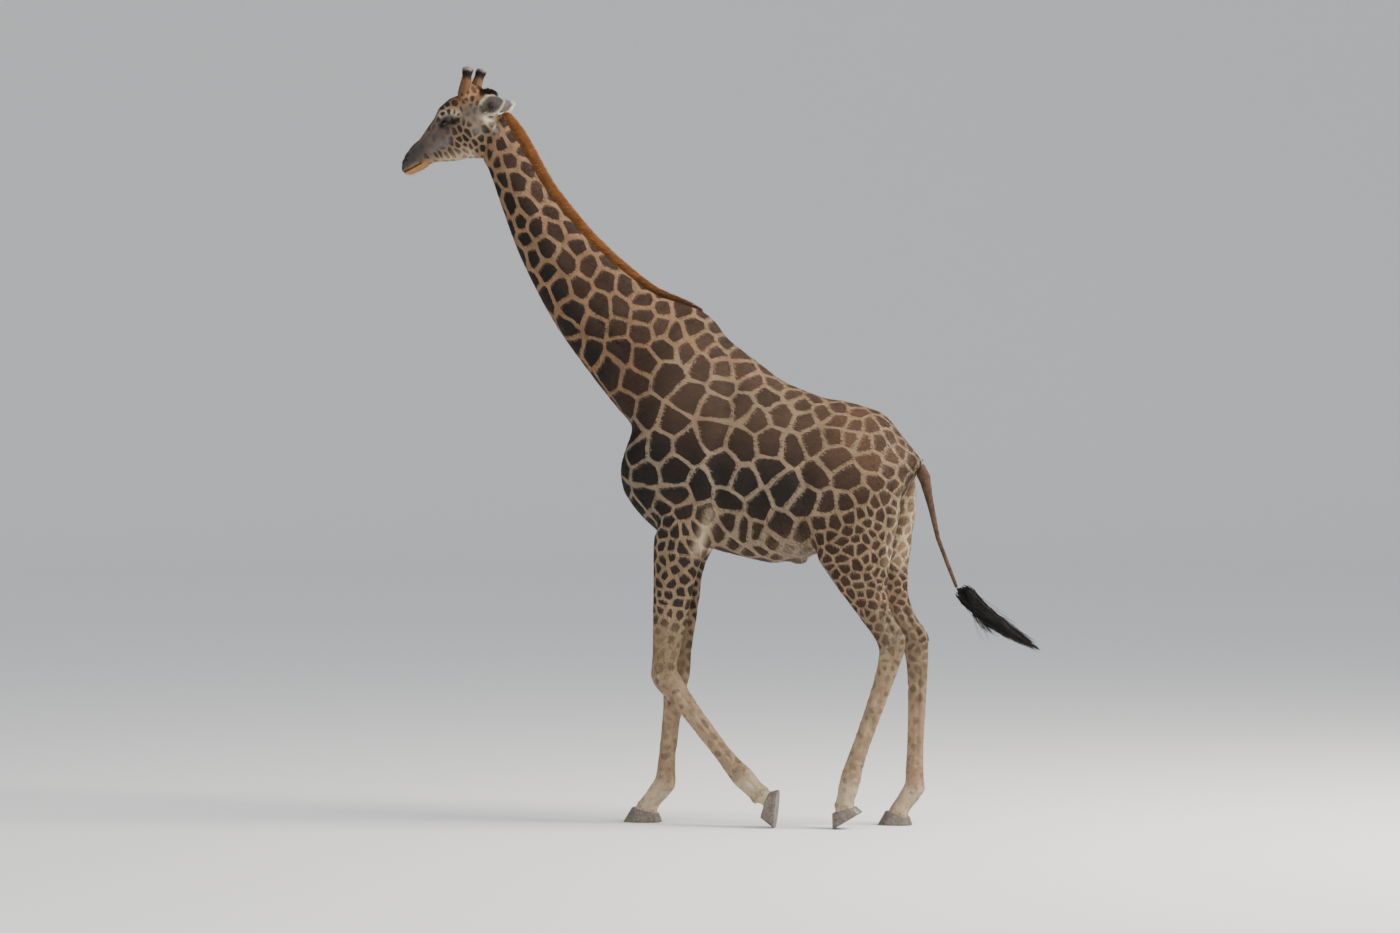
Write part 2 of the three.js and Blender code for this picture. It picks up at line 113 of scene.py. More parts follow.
# %% Putting meshes into the scene
def show(name, bm_or_mesh, material=None, slot=None, replaces=()):
    """Makes an object at the origin from a finished mesh, and lets it ride on the still body."""
    mesh = bm_or_mesh
    if isinstance(bm_or_mesh, bmesh.types.BMesh):
        mesh = bpy.data.meshes.new(name)
        bm_or_mesh.to_mesh(mesh)
        bm_or_mesh.free()
    mesh.name = name
    piece = bpy.data.objects.new(name, mesh)
    bpy.context.scene.collection.objects.link(piece)
    if material is not None:
        mesh.materials.clear()
        mesh.materials.append(material)
    if slot is not None:
        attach(piece, "root")
    if replaces:
        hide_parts(*replaces)
    return piece


def triangles(piece):
    return sum(len(face.vertices) - 2 for face in piece.data.polygons)


# %% Floor and wall
FLOOR_RADIUS = 44.0
WALL_BEND = 8.0
WALL_TOP = 16.0
BEND_STEPS = 12
ROUND_STEPS = 96


def studio_bowl():
    """The floor and a low round wall, as one line that bends upwards and is spun round the middle."""
    bm = bmesh.new()
    line = [(0.0, 0.0), (FLOOR_RADIUS / 2, 0.0), (FLOOR_RADIUS, 0.0)]
    for step in range(1, BEND_STEPS + 1):
        turn = math.radians(90) * step / BEND_STEPS
        line.append((FLOOR_RADIUS + WALL_BEND * math.sin(turn), WALL_BEND * (1 - math.cos(turn))))
    line.append((FLOOR_RADIUS + WALL_BEND, WALL_TOP))
    verts = [bm.verts.new((out, 0.0, z)) for out, z in line]
    edges = [bm.edges.new(pair) for pair in zip(verts, verts[1:])]
    bmesh.ops.spin(
        bm,
        geom=verts + edges,
        cent=(0, 0, 0),
        axis=(0, 0, 1),
        angle=2 * math.pi,
        steps=ROUND_STEPS,
        use_merge=True,
    )
    bmesh.ops.remove_doubles(bm, verts=bm.verts, dist=1e-4)
    inside = Vector((0, 0, WALL_TOP / 2))
    for face in bm.faces:
        if face.normal.dot(inside - face.calc_center_median()) < 0:
            face.normal_flip()
    return bm


def smooth_shaded(piece):
    piece.data.polygons.foreach_set("use_smooth", np.ones(len(piece.data.polygons), bool))
    return piece


sheet_material = bpy.data.materials.new("studio_sheet")
sheet_material.use_nodes = True
sheet_shader = sheet_material.node_tree.nodes["Principled BSDF"]
sheet_shader.inputs["Base Color"].default_value = (0.92, 0.91, 0.89, 1)
sheet_shader.inputs["Roughness"].default_value = 0.9
floor = smooth_shaded(show("studio_sheet", studio_bowl(), sheet_material))
print("studio sheet:", triangles(floor), "triangles")


# %% Lights
def softbox(name, place, aim, size, watts, colour):
    light = bpy.data.lights.new(name, "AREA")
    light.shape = "RECTANGLE"
    light.size, light.size_y = size
    light.energy = watts
    light.color = colour
    lamp = bpy.data.objects.new(name, light)
    lamp.location = place
    lamp.rotation_euler = (Vector(aim) - Vector(place)).to_track_quat("-Z", "Y").to_euler()
    bpy.context.scene.collection.objects.link(lamp)


BODY_MIDDLE = (0.1, 0.0, 2.3)
softbox("key_light", (8.5, -1.0, 8.5), BODY_MIDDLE, (5, 5), 2400, (1.0, 0.95, 0.87))
softbox("wide_light", (-4.0, -13.0, 7.0), BODY_MIDDLE, (9, 6), 520, (0.93, 0.96, 1.0))
softbox("low_light", (2.0, -9.0, 0.9), BODY_MIDDLE, (8, 1.5), 120, (1.0, 0.93, 0.82))

world = bpy.data.worlds.new("studio_air")
bpy.context.scene.world = world
world.use_nodes = True
world.node_tree.nodes["Background"].inputs["Color"].default_value = (0.80, 0.84, 0.90, 1)
world.node_tree.nodes["Background"].inputs["Strength"].default_value = 0.70

# %% [markdown]
# ## Where things are on the head
# The head is turned and tipped, so face parts are easier to place in its own coordinates: along from
# the muzzle to the poll, out to the side, and up. One matrix takes them to the world.

# %% The head's own coordinates
HEAD_PIVOT = (-1.3933, 0.020, 4.175)
HEAD_YAW = math.radians(12.7)
HEAD_PITCH = math.radians(33)
MUZZLE = (-0.612, 0.0, -0.188)
HEAD_TO_WORLD = (
    Matrix.Translation(HEAD_PIVOT)
    @ Matrix.Rotation(-HEAD_YAW, 4, "Z")
    @ Matrix.Translation(MUZZLE)
    @ Matrix.Rotation(-HEAD_PITCH, 4, "Y")
)
LEFT, RIGHT = -1, 1
SIDES = {"left": LEFT, "right": RIGHT}


def moved_by(matrix, points):
    turn = np.array(matrix.to_3x3())
    return np.asarray(points) @ turn.T + np.array(matrix.translation)


def to_head(points):
    return moved_by(HEAD_TO_WORLD.inverted(), points)


def head_point(along, out, up):
    return HEAD_TO_WORLD @ Vector((along, out, up))


def middle_of(node):
    low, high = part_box(node)
    return (low + high) / 2


EYE_RADIUS = 0.0225
EYES = {side: middle_of(f"eye_{side}") for side in SIDES}
print("left eye on the head:", np.round(to_head([EYES["left"]])[0], 3))

# A real hide has no such seams. Copies of the solids are swollen a little, so that they overlap across
# the gaps, and a voxel remesh then melts them into one closed surface. Smoothing takes the facets out,
# but it also thins a leg, so afterwards each vertex is pushed back to its right depth under the solids
# by a softened correction.


# %% Reading and moving many vertices at once
def numbers(items, name, width, kind=np.float32):
    values = np.empty(len(items) * width, kind)
    items.foreach_get(name, values)
    return values.reshape(-1, width) if width > 1 else values


def places(mesh):
    return numbers(mesh.vertices, "co", 3).astype(float)


def normals(mesh):
    return numbers(mesh.vertex_normals, "vector", 3).astype(float)


def edges_of(mesh):
    return numbers(mesh.edges, "vertices", 2, np.int32)


def put(mesh, points):
    mesh.vertices.foreach_set("co", np.ascontiguousarray(points, np.float32).ravel())
    mesh.update()


def eased(values, edges, rounds, strength=0.5):
    """Values at the vertices, drawn towards the mean of their neighbours again and again."""
    one, two = edges.T
    count = np.bincount(edges.ravel(), minlength=len(values))
    values = np.array(values, float)
    flat = values.reshape(len(values), -1)
    for _ in range(rounds):
        for column in flat.T:
            total = np.bincount(one, column[two], len(flat)) + np.bincount(two, column[one], len(flat))
            column += strength * (total / count - column)
    return values


def unit(vectors):
    length = np.linalg.norm(vectors, axis=-1, keepdims=True)
    return vectors / np.maximum(length, 1e-9)


def ramp(values, low, high):
    """0 below low, 1 above high, and a smooth rise between them."""
    share = np.clip((np.asarray(values, float) - low) / (high - low), 0, 1)
    return share * share * (3 - 2 * share)


print("a ramp from 2 to 4, at 2.5, 3 and 3.5:", ramp((2.5, 3.0, 3.5), 2, 4).round(3))

# %% Copies of the solids
LEG_NAMES = ["fore_left", "fore_right", "hind_left", "hind_right"]
CLAWS = [f"hoof_{leg}_{claw}" for leg in LEG_NAMES for claw in "ab"]
FLESH = ["head", "neck_upper", "neck_lower", "trunk"]
FLESH += [f"leg_{leg}_{part}" for leg in LEG_NAMES for part in ("upper", "lower", "foot")]
CORES = [f"{thing}_{side}" for thing in ("eye", "ossicone") for side in SIDES] + CLAWS
SWELL = 0.0016  # more than half of the gap between two solids
print("nodes of flesh:", len(FLESH), "and solids that stay inside the melt:", len(CORES))


def merged_copy(node):
    bm = bmesh.new()
    bm.from_mesh(frame["nodes"][node].data)
    bmesh.ops.remove_doubles(bm, verts=bm.verts, dist=1e-5)
    return bm


def all_solids(nodes, swell):
    """One bmesh of several nodes' copies, and the node that each face comes from."""
    whole = bmesh.new()
    owners = []
    for node in nodes:
        bm = merged_copy(node)
        for vert in bm.verts:
            vert.co += vert.normal * swell
        mesh = bpy.data.meshes.new("copy")
        bm.to_mesh(mesh)
        owners += [node] * len(bm.faces)
        bm.free()
        whole.from_mesh(mesh)
        bpy.data.meshes.remove(mesh)
    return whole, owners


def remeshed(bm, voxel):
    """The voxel remesh of a bmesh, as a new mesh of quads."""
    holder = show("holder", bm)
    change = holder.modifiers.new("melt", "REMESH")
    change.mode = "VOXEL"
    change.voxel_size = voxel
    graph = bpy.context.evaluated_depsgraph_get()
    mesh = bpy.data.meshes.new_from_object(holder.evaluated_get(graph))
    old = holder.data
    bpy.data.objects.remove(holder)
    bpy.data.meshes.remove(old)
    return mesh


# %% How deep the skin lies under the solids
DEPTHS = {
    "eye": 0.0,
    "ossicone": 0.008,
    "hoof": 0.008,
    "head": 0.0025,
    "foot": 0.003,
    "lower": 0.003,
    "upper": 0.005,
    "neck": 0.006,
    "trunk": 0.006,
}
HORN_FOOT = 0.045  # the hide runs up over this much of a horn,
HORN_FOOT_LIFT = 0.0015  # and lies this far outside it


def depth_of(node):
    return next(depth for word, depth in DEPTHS.items() if word in node.split("_"))


solids, solid_owners = all_solids(FLESH + CORES, 0.0)
solid_tree = BVHTree.FromBMesh(solids)
solid_middles = np.array([face.calc_center_median() for face in solids.faces])
solids.free()
solid_depths = np.array([depth_of(node) for node in solid_owners])
horn_face = np.array(["ossicone" in node for node in solid_owners])
horn_height = to_head(solid_middles)[:, 2]
horn_foot = horn_face & (horn_height < horn_height[horn_face].min() + HORN_FOOT)
solid_depths[horn_foot] = -HORN_FOOT_LIFT
print("coat depth:", solid_depths.min(), "to", solid_depths.max(), "m")

# %% Melt, smooth and correct
VOXEL = 0.0220
SMOOTH_ROUNDS = {"everywhere": 6, "broad body": 22}
CORRECT_ROUNDS = 80
MOST_CORRECTION = 0.012


def against_solids(points):
    """How far each point is outside the solids' surface, and the index of the solid face next to it."""
    outside = np.empty(len(points))
    face = np.empty(len(points), int)
    for i, point in enumerate(points):
        nearest, normal, face[i], _ = solid_tree.find_nearest(point)
        outside[i] = (Vector(point) - nearest).dot(normal)
    return outside, face


def corrected(mesh, rounds):
    """Pushes the surface to its depth under the solids, softly, so that no facet comes back."""
    points = places(mesh)
    outside, face = against_solids(points)
    excess = np.clip(outside + solid_depths[face], -MOST_CORRECTION, MOST_CORRECTION)
    put(mesh, points - normals(mesh) * eased(excess, edges_of(mesh), rounds)[:, None])


def softened(mesh, share, rounds):
    """Smooths the surface, in full where share is 1 and not at all where it is 0."""
    points = places(mesh)
    smooth = eased(points, edges_of(mesh), rounds)
    put(mesh, points + (smooth - points) * np.asarray(share)[:, None])


def broad_body(points):
    """1 on the trunk and the neck, and 0 on the legs and the head."""
    return ramp(points[:, 2], 1.55, 1.85) * ramp(-points[:, 2] - 0.3 * points[:, 0], -4.0, -3.6)


melted, _ = all_solids(FLESH + CORES, SWELL)
skin_mesh = remeshed(melted, VOXEL)
softened(skin_mesh, np.ones(len(skin_mesh.vertices)), SMOOTH_ROUNDS["everywhere"])
softened(skin_mesh, broad_body(places(skin_mesh)), SMOOTH_ROUNDS["broad body"])
for _ in range(2):
    corrected(skin_mesh, CORRECT_ROUNDS)
print("skin at first:", len(skin_mesh.polygons), "quads")

# %% [markdown]
# ## Finer skin on the head, and thin parts
# The melt is coarse, because a giraffe is large. The shins are split into finer quads once, the head
# twice, and the muzzle and the eyes again. Ears and tail are too thin for the coarse melt. They are
# modelled on their own and joined on by a boolean union, so the hide still has no seam.

# %% Splitting faces where more detail is needed
SHIN_TOP = 1.30


def refined(mesh, picked):
    """Halves the edges between picked vertices, so the faces there become quarters."""
    bm = bmesh.new()
    bm.from_mesh(mesh)
    wanted = [e for e in bm.edges if picked[e.verts[0].index] and picked[e.verts[1].index]]
    bmesh.ops.subdivide_edges(bm, edges=wanted, cuts=1, use_grid_fill=True)
    bm.to_mesh(mesh)
    bm.free()


def on_head(points):
    along, out, up = to_head(points).T
    return (along < 0.76) & (np.abs(out) < 0.30) & (up > -0.24 - 0.25 * (0.6 - along)) & (up < 0.34)


def on_face(points):
    along, out, up = to_head(points).T
    return on_head(points) & (along < 0.64) & (up < 0.19)


def near(points, centre, reach):
    return np.linalg.norm(points - np.array(centre), axis=1) < reach


def on_shins(points):
    return points[:, 2] < SHIN_TOP


def on_head_or_shins(points):
    return on_head(points) | on_shins(points)


for finer_here, rounds in ((on_head_or_shins, 3), (on_face, 4)):
    refined(skin_mesh, finer_here(places(skin_mesh)))
    softened(skin_mesh, finer_here(places(skin_mesh)).astype(float), rounds)
corrected(skin_mesh, 12)
print("skin with a finer head and shins:", len(skin_mesh.polygons), "faces")

# %% [markdown]
# ## Ears
# A giraffe's ear is a leaf rolled into a tube at its foot: the hollow opens outwards and a little to
# the back. A grid is bent over that shape, row by row, and gets a wall from solidify.

# %% Ears
EAR_FOOT = (0.655, 0.066, -0.006)
EAR_TIPS = {"left": (0.862, 0.166, -0.070), "right": (0.765, 0.236, 0.014)}
EAR_WALL = 0.0050
EAR_ROWS, EAR_COLUMNS = 30, 20
# Share of the length, half height, how far the back bulges, depth of the hollow, opening in degrees.
EAR_SHAPE = np.array([
    (-0.14, 0.014, 0.014, 0.027, 158),
    (0.00, 0.018, 0.019, 0.034, 152),
    (0.10, 0.027, 0.025, 0.038, 126),
    (0.22, 0.045, 0.028, 0.037, 98),
    (0.42, 0.061, 0.026, 0.031, 78),
    (0.65, 0.056, 0.020, 0.024, 64),
    (0.84, 0.034, 0.012, 0.014, 52),
    (0.96, 0.013, 0.005, 0.006, 44),
    (1.00, 0.003, 0.002, 0.002, 40),
])


def ear_frame(side):
    """A matrix whose X runs from the foot of the ear to its tip, and whose -Y side is the hollow."""
    sign = SIDES[side]
    foot = Vector((EAR_FOOT[0], sign * EAR_FOOT[1], EAR_FOOT[2]))
    tip = Vector((EAR_TIPS[side][0], sign * EAR_TIPS[side][1], EAR_TIPS[side][2]))
    along = (tip - foot).normalized()
    inward = Vector((0.35, -sign, 0.1))
    up = along.cross(inward).normalized() * -sign
    back = up.cross(along)
    turn = Matrix((along, back, up)).transposed().to_4x4()
    return HEAD_TO_WORLD @ Matrix.Translation(foot) @ turn, (tip - foot).length


def ear(side):
    """The ear of one side: its mesh in the world, closed and smooth."""
    matrix, length = ear_frame(side)
    bm = bmesh.new()
    bmesh.ops.create_grid(bm, x_segments=EAR_ROWS, y_segments=EAR_COLUMNS, size=1)
    first, last = EAR_SHAPE[0, 0], EAR_SHAPE[-1, 0]
    for vert in bm.verts:
        at = first + (last - first) * (vert.co.x + 1) / 2
        half, back, cup, opening = (np.interp(at, EAR_SHAPE[:, 0], EAR_SHAPE[:, i]) for i in range(1, 5))
        widest = math.radians(opening)
        turn = vert.co.y * widest
        tall = half * math.sin(turn) / math.sin(min(widest, math.pi / 2))
        deep = back - cup * (1 - math.cos(turn)) / (1 - math.cos(widest))
        fold = 0.0015 * math.sin(9 * at + 4 * vert.co.y)
        vert.co = (length * 0.99 * at, deep + fold, tall - 0.012 * at * at)
    bm.normal_update()
    bmesh.ops.solidify(bm, geom=bm.faces[:], thickness=EAR_WALL)
    bmesh.ops.recalc_face_normals(bm, faces=bm.faces)
    for _ in range(4):
        bmesh.ops.smooth_vert(
            bm, verts=bm.verts, factor=0.5, use_axis_x=True, use_axis_y=True, use_axis_z=True
        )
    bm.transform(matrix)
    if sum(face.normal.dot(face.calc_center_median() - matrix.translation) for face in bm.faces) < 0:
        bmesh.ops.reverse_faces(bm, faces=bm.faces)
    return bm


print("ears:", [round(ear_frame(side)[1], 3) for side in SIDES], "m long")

# %% The foot of the ear
KNOT_RADII = (0.032, 0.025, 0.027)


def ear_root(side):
    """The knot of muscle that the foot of the ear is set in."""
    bm = bmesh.new()
    bmesh.ops.create_icosphere(bm, subdivisions=4, radius=1)
    knot = Matrix.Translation((0.004, 0.004, 0)) @ Matrix.Diagonal((*KNOT_RADII, 1))
    bm.transform(ear_frame(side)[0] @ knot)
    return bm


print("knot at the foot of an ear:", [2 * radius for radius in KNOT_RADII], "m")

# %% [markdown]
# ## Tail, and one skin of all the parts
# The bare tail is melted like the body, with smaller voxels, and reaches into the rump. A boolean
# union then cuts away what is inside, so the mesh stays one closed surface. A short smoothing round
# the foot of each ear hides the line where it joins.

# %% Tail
TAIL_VOXEL = 0.0075
TAIL_DEPTH = 0.003


def tail():
    """The bare tail: the solid, melted more finely than the body and reaching into the rump."""
    bm = merged_copy("tail")
    for vert in bm.verts:
        vert.co += vert.normal * SWELL
    mesh = remeshed(bm, TAIL_VOXEL)
    put(mesh, eased(places(mesh), edges_of(mesh), 8))
    put(mesh, places(mesh) - normals(mesh) * TAIL_DEPTH)
    bm = bmesh.new()
    bm.from_mesh(mesh)
    bpy.data.meshes.remove(mesh)
    return bm


low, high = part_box("tail")
print("tail:", [round(size, 3) for size in high - low], "m")


# %% Joining the thin parts to the skin
def in_order(mesh):
    """The same mesh with its faces in a fixed order, because a boolean leaves them in any order."""
    faces = []
    for face in mesh.polygons:
        corners = list(face.vertices)
        first = corners.index(min(corners))
        faces.append(corners[first:] + corners[:first])
    fixed = bpy.data.meshes.new("skin")
    fixed.from_pydata(places(mesh), [], sorted(faces))
    bpy.data.meshes.remove(mesh)
    return fixed


def united(mesh, parts):
    """The boolean union of a mesh with several closed bmeshes."""
    holder = bpy.data.objects.new("holder", mesh)
    bpy.context.scene.collection.objects.link(holder)
    tools = [show(f"part_{i}", part) for i, part in enumerate(parts)]
    for tool in tools:
        change = holder.modifiers.new("union", "BOOLEAN")
        change.operation = "UNION"
        change.solver = "MANIFOLD"
        change.object = tool
    graph = bpy.context.evaluated_depsgraph_get()
    whole = bpy.data.meshes.new_from_object(holder.evaluated_get(graph))
    for thing in [holder, *tools]:
        bpy.data.objects.remove(thing)
    return in_order(whole)


before_union = len(skin_mesh.polygons)
thin_parts = [make(side) for side in SIDES for make in (ear_root, ear)] + [tail()]
skin_mesh = united(skin_mesh, thin_parts)
for side in SIDES:
    foot = ear_frame(side)[0].translation
    joint = 1 - ramp(np.linalg.norm(places(skin_mesh) - np.array(foot), axis=1), 0.030, 0.055)
    softened(skin_mesh, joint, 3)
print("faces before and after the union:", before_union, len(skin_mesh.polygons))

# %% [markdown]
# ## Modelling with strokes
# Bones and muscles lift or dent the hide. A sculptor would draw them with a brush, and so does this
# step: a stroke is a line in the side view that is laid on the skin by rays from that side. Vertices
# near the line move along their normals, by the stroke's height, and the push fades with distance.


# %% The brush
def distance_to_line(points, line):
    """The distance from each point to a line of several straight pieces, or to a single point."""
    line = np.asarray(line, float)
    best = np.linalg.norm(points - line[0], axis=1)
    for start, end in zip(line, line[1:]):
        run = end - start
        share = np.clip(((points - start) @ run) / (run @ run), 0, 1)
        best = np.minimum(best, np.linalg.norm(points - start - share[:, None] * run, axis=1))
    return best


def faded(distance, width):
    """1 on the line itself, about a third at its width, and almost 0 at three times that."""
    return np.exp(-((distance / width) ** 2))


def curved(line, rounds=3):
    """The same line with its corners cut again and again, until it bends smoothly."""
    line = np.asarray(line, float)
    for _ in range(rounds if len(line) > 1 else 0):
        cut = [line[0]]
        for start, end in zip(line, line[1:]):
            cut += [0.75 * start + 0.25 * end, 0.25 * start + 0.75 * end]
        line = np.array(cut + [line[-1]])
    return line


def laid(tree, starts, way):
    """The first points of the skin that rays meet on their way."""
    hits = [tree.ray_cast(Vector(start), Vector(way))[0] for start in starts]
    return [hit for hit in hits if hit is not None]


def tree_of(mesh):
    bm = bmesh.new()
    bm.from_mesh(mesh)
    tree = BVHTree.FromBMesh(bm)
    bm.free()
    return tree


def brushed(mesh, strokes):
    """Strokes are (line on the skin, width, height), and height below 0 makes a groove."""
    points, outwards = places(mesh), normals(mesh)
    push = np.zeros(len(points))
    for line, width, height in strokes:
        if len(line):
            low, high = np.min(line, axis=0) - 3 * width, np.max(line, axis=0) + 3 * width
            close = np.flatnonzero(((points > low) & (points < high)).all(axis=1))
            push[close] += height * faded(distance_to_line(points[close], line), width)
    put(mesh, points + outwards * push[:, None])


print("a line with one corner, curved:", len(curved([(0, 0), (1, 0), (1, 1)])), "points")

# %% Strokes on the trunk and neck
# Each one: its name, its line as (x, z), width and height.
BODY_STROKES = [
    ("scapula front", [(-0.10, 2.93), (-0.33, 2.58), (-0.45, 2.33)], 0.060, -0.005),
    ("scapula edge", [(-0.05, 2.92), (-0.27, 2.55), (-0.41, 2.26)], 0.065, 0.006),
    ("scapula spine", [(0.00, 2.86), (-0.17, 2.52), (-0.33, 2.22)], 0.035, 0.006),
    ("behind the shoulder", [(0.12, 2.74), (0.07, 2.45), (0.05, 2.10), (0.04, 1.80)], 0.055, -0.014),
    ("triceps", [(0.00, 2.52), (-0.03, 2.15), (-0.02, 1.86)], 0.080, 0.012),
    ("arm groove", [(-0.36, 2.16), (-0.20, 1.98), (-0.05, 1.84)], 0.026, -0.006),
    ("breast groove", [(-0.46, 2.12), (-0.40, 1.93), (-0.33, 1.80)], 0.028, -0.006),
    ("shoulder point", [(-0.47, 2.24)], 0.070, 0.010),
    ("hip bone", [(0.74, 2.40), (0.80, 2.33)], 0.065, 0.012),
    ("flank hollow", [(0.60, 2.22), (0.63, 2.05)], 0.085, -0.014),
    ("flank fold", [(0.60, 2.12), (0.575, 1.93), (0.60, 1.74)], 0.038, -0.016),
    ("flank web", [(0.68, 2.06), (0.655, 1.88), (0.67, 1.72)], 0.045, 0.010),
    ("croup", [(0.90, 2.47), (1.02, 2.38)], 0.060, 0.006),
    ("pin bone", [(1.20, 2.19)], 0.045, 0.010),
    ("hamstring", [(1.10, 2.12), (1.07, 1.92), (1.03, 1.70)], 0.024, -0.007),
    ("jugular groove", [(-1.385, 3.97), (-1.18, 3.52), (-0.88, 3.04), (-0.66, 2.70)], 0.042, -0.010),
    ("upper neck groove", [(-1.13, 3.93), (-0.98, 3.62), (-0.72, 3.28)], 0.045, -0.004),
    ("neck bones", [(-1.27, 3.95), (-1.05, 3.56), (-0.78, 3.16)], 0.045, 0.008),
    ("brisket", [(-0.55, 2.02), (-0.44, 1.88)], 0.040, 0.005),
]
BODY_STROKES += [
    (
        f"rib {i}",
        [(0.22 + 0.085 * i, 2.42), (0.30 + 0.085 * i, 2.12), (0.31 + 0.08 * i, 1.88)],
        0.017,
        0.0022,
    )
    for i in range(5)
]
BODY_STROKES += [
    (
        f"crease {i}",
        [(-0.86 + 0.035 * i, 3.30 - 0.05 * i), (-0.83 + 0.05 * i, 3.18 - 0.055 * i)],
        0.012,
        -0.006,
    )
    for i in range(7)
]


def body_strokes(tree):
    strokes = []
    for _, line, width, height in BODY_STROKES:
        for side in SIDES.values():
            on_skin = laid(tree, [(x, side, z) for x, z in curved(line)], (0, -side, 0))
            strokes.append((on_skin, width, height))
    return strokes


print("strokes on each side of the body:", len(BODY_STROKES))

# %% Joints of the legs
# Each leg: blade or hip, elbow or stifle, knee or hock, fetlock, top of the hoof.
LEG_JOINTS = {
    "fore_left": [(-0.078, -0.150, 2.440), (-0.198, -0.203, 1.705), (-0.295, -0.165, 0.915),
                  (0.181, -0.168, 0.300), (0.300, -0.170, 0.192)],
    "fore_right": [(-0.078, 0.150, 2.440), (-0.243, 0.200, 1.690), (-0.265, 0.138, 0.935),
                   (-0.337, 0.096, 0.248), (-0.455, 0.090, 0.078)],
    "hind_left": [(0.997, -0.150, 2.230), (0.902, -0.188, 1.720), (1.105, -0.175, 1.085),
                  (0.835, -0.172, 0.290), (0.803, -0.172, 0.128)],
    "hind_right": [(1.032, 0.150, 2.230), (0.962, 0.188, 1.720), (1.203, 0.168, 1.075),
                   (1.187, 0.150, 0.235), (1.089, 0.146, 0.076)],
}


def leg_point(leg, bone, share, ahead):
    """A place at a share of a bone's length, and so far ahead of it in the side view."""
    start, end = (np.array(LEG_JOINTS[leg][i]) for i in (bone, bone + 1))
    run = unit((end - start)[[0, 2]])
    place = start + (end - start) * share
    return place + ahead * np.array((run[1], 0, -run[0]))


def ends_of_pastern(leg):
    """The fetlock and the top of the hoof."""
    return np.array(LEG_JOINTS[leg][3]), np.array(LEG_JOINTS[leg][4])


for leg in LEG_NAMES:
    bones = np.diff(np.array(LEG_JOINTS[leg]), axis=0)
    print(leg, "bone lengths:", np.linalg.norm(bones, axis=1).round(2), "m")


# %% Strokes on the legs
# Each one: its name, its line as (bone, share of the bone, metres ahead of it), width and height.
FORE_STROKES = [
    ("elbow", [(1, 0.02, -0.15)], 0.040, 0.010),
    ("forearm groove", [(1, 0.12, -0.02), (1, 0.45, -0.02), (1, 0.75, -0.012)], 0.015, -0.006),
    ("extensor", [(1, 0.10, 0.075), (1, 0.42, 0.06)], 0.030, 0.006),
    ("knee edge", [(1, 0.93, 0.055), (2, 0.05, 0.055)], 0.018, 0.006),
    ("knee side", [(1, 0.985, 0.0)], 0.020, -0.004),
    ("knee back", [(1, 0.96, -0.058), (2, 0.03, -0.05)], 0.018, 0.007),
    ("below the knee", [(2, 0.13, 0.03)], 0.025, -0.003),
    ("tendon groove", [(2, 0.14, -0.020), (2, 0.50, -0.018), (2, 0.84, -0.020)], 0.009, -0.007),
    ("fetlock", [(2, 0.985, 0.0)], 0.032, 0.008),
    ("sesamoid", [(3, 0.02, -0.048)], 0.022, 0.011),
    ("pastern groove", [(3, 0.25, -0.020), (3, 0.65, -0.015)], 0.012, -0.005),
]
HIND_STROKES = [
    ("kneecap", [(1, 0.03, 0.235)], 0.050, 0.012),
    ("thigh groove", [(0, 0.55, -0.08), (1, 0.05, -0.09), (1, 0.30, -0.05)], 0.022, -0.008),
    ("gaskin groove", [(1, 0.18, 0.04), (1, 0.45, 0.01), (1, 0.66, 0.0)], 0.018, -0.006),
    ("heel string hollow", [(1, 0.60, -0.012), (1, 0.76, -0.018), (1, 0.90, -0.036)], 0.015, -0.013),
    ("hock edge", [(1, 0.93, 0.055), (2, 0.04, 0.045)], 0.018, 0.005),
    ("hock side", [(1, 0.985, 0.005)], 0.018, -0.004),
    ("hock point", [(1, 0.93, -0.075)], 0.020, 0.005),
    ("tendon groove", [(2, 0.10, -0.024), (2, 0.50, -0.018), (2, 0.84, -0.020)], 0.009, -0.008),
    ("fetlock", [(2, 0.985, 0.0)], 0.032, 0.008),
    ("sesamoid", [(3, 0.02, -0.045)], 0.022, 0.011),
    ("pastern groove", [(3, 0.25, -0.020), (3, 0.65, -0.015)], 0.012, -0.005),
]


def leg_strokes(tree):
    strokes = []
    for leg in LEG_NAMES:
        out = LEFT if leg.endswith("left") else RIGHT
        for _, line, width, height in FORE_STROKES if leg.startswith("fore") else HIND_STROKES:
            spots = curved([leg_point(leg, *spot) for spot in line], 2)
            outer = laid(tree, [(x, out, z) for x, _, z in spots], (0, -out, 0))
            strokes.append((outer, width, height))
            if line[0][0] >= 1:
                inner = laid(tree, [(x, 0.0, z) for x, _, z in spots], (0, out, 0))
                strokes.append((inner, width, height))
    return strokes


print("strokes on a foreleg:", len(FORE_STROKES), "and on a hind leg:", len(HIND_STROKES))

# %% Carve the body and the legs
skin_tree = tree_of(skin_mesh)
strokes = body_strokes(skin_tree) + leg_strokes(skin_tree)
brushed(skin_mesh, strokes)
print("strokes laid on the skin:", len(strokes))

# %% [markdown]
# ## The face
# The bones of the face come from strokes as well, drawn in the head's own coordinates. The muzzle and
# the eyes need finer faces first. A giraffe closes its long slanting nostrils against dust, so they
# are deep slits with a raised rim. The upper lip hangs over the lower one.

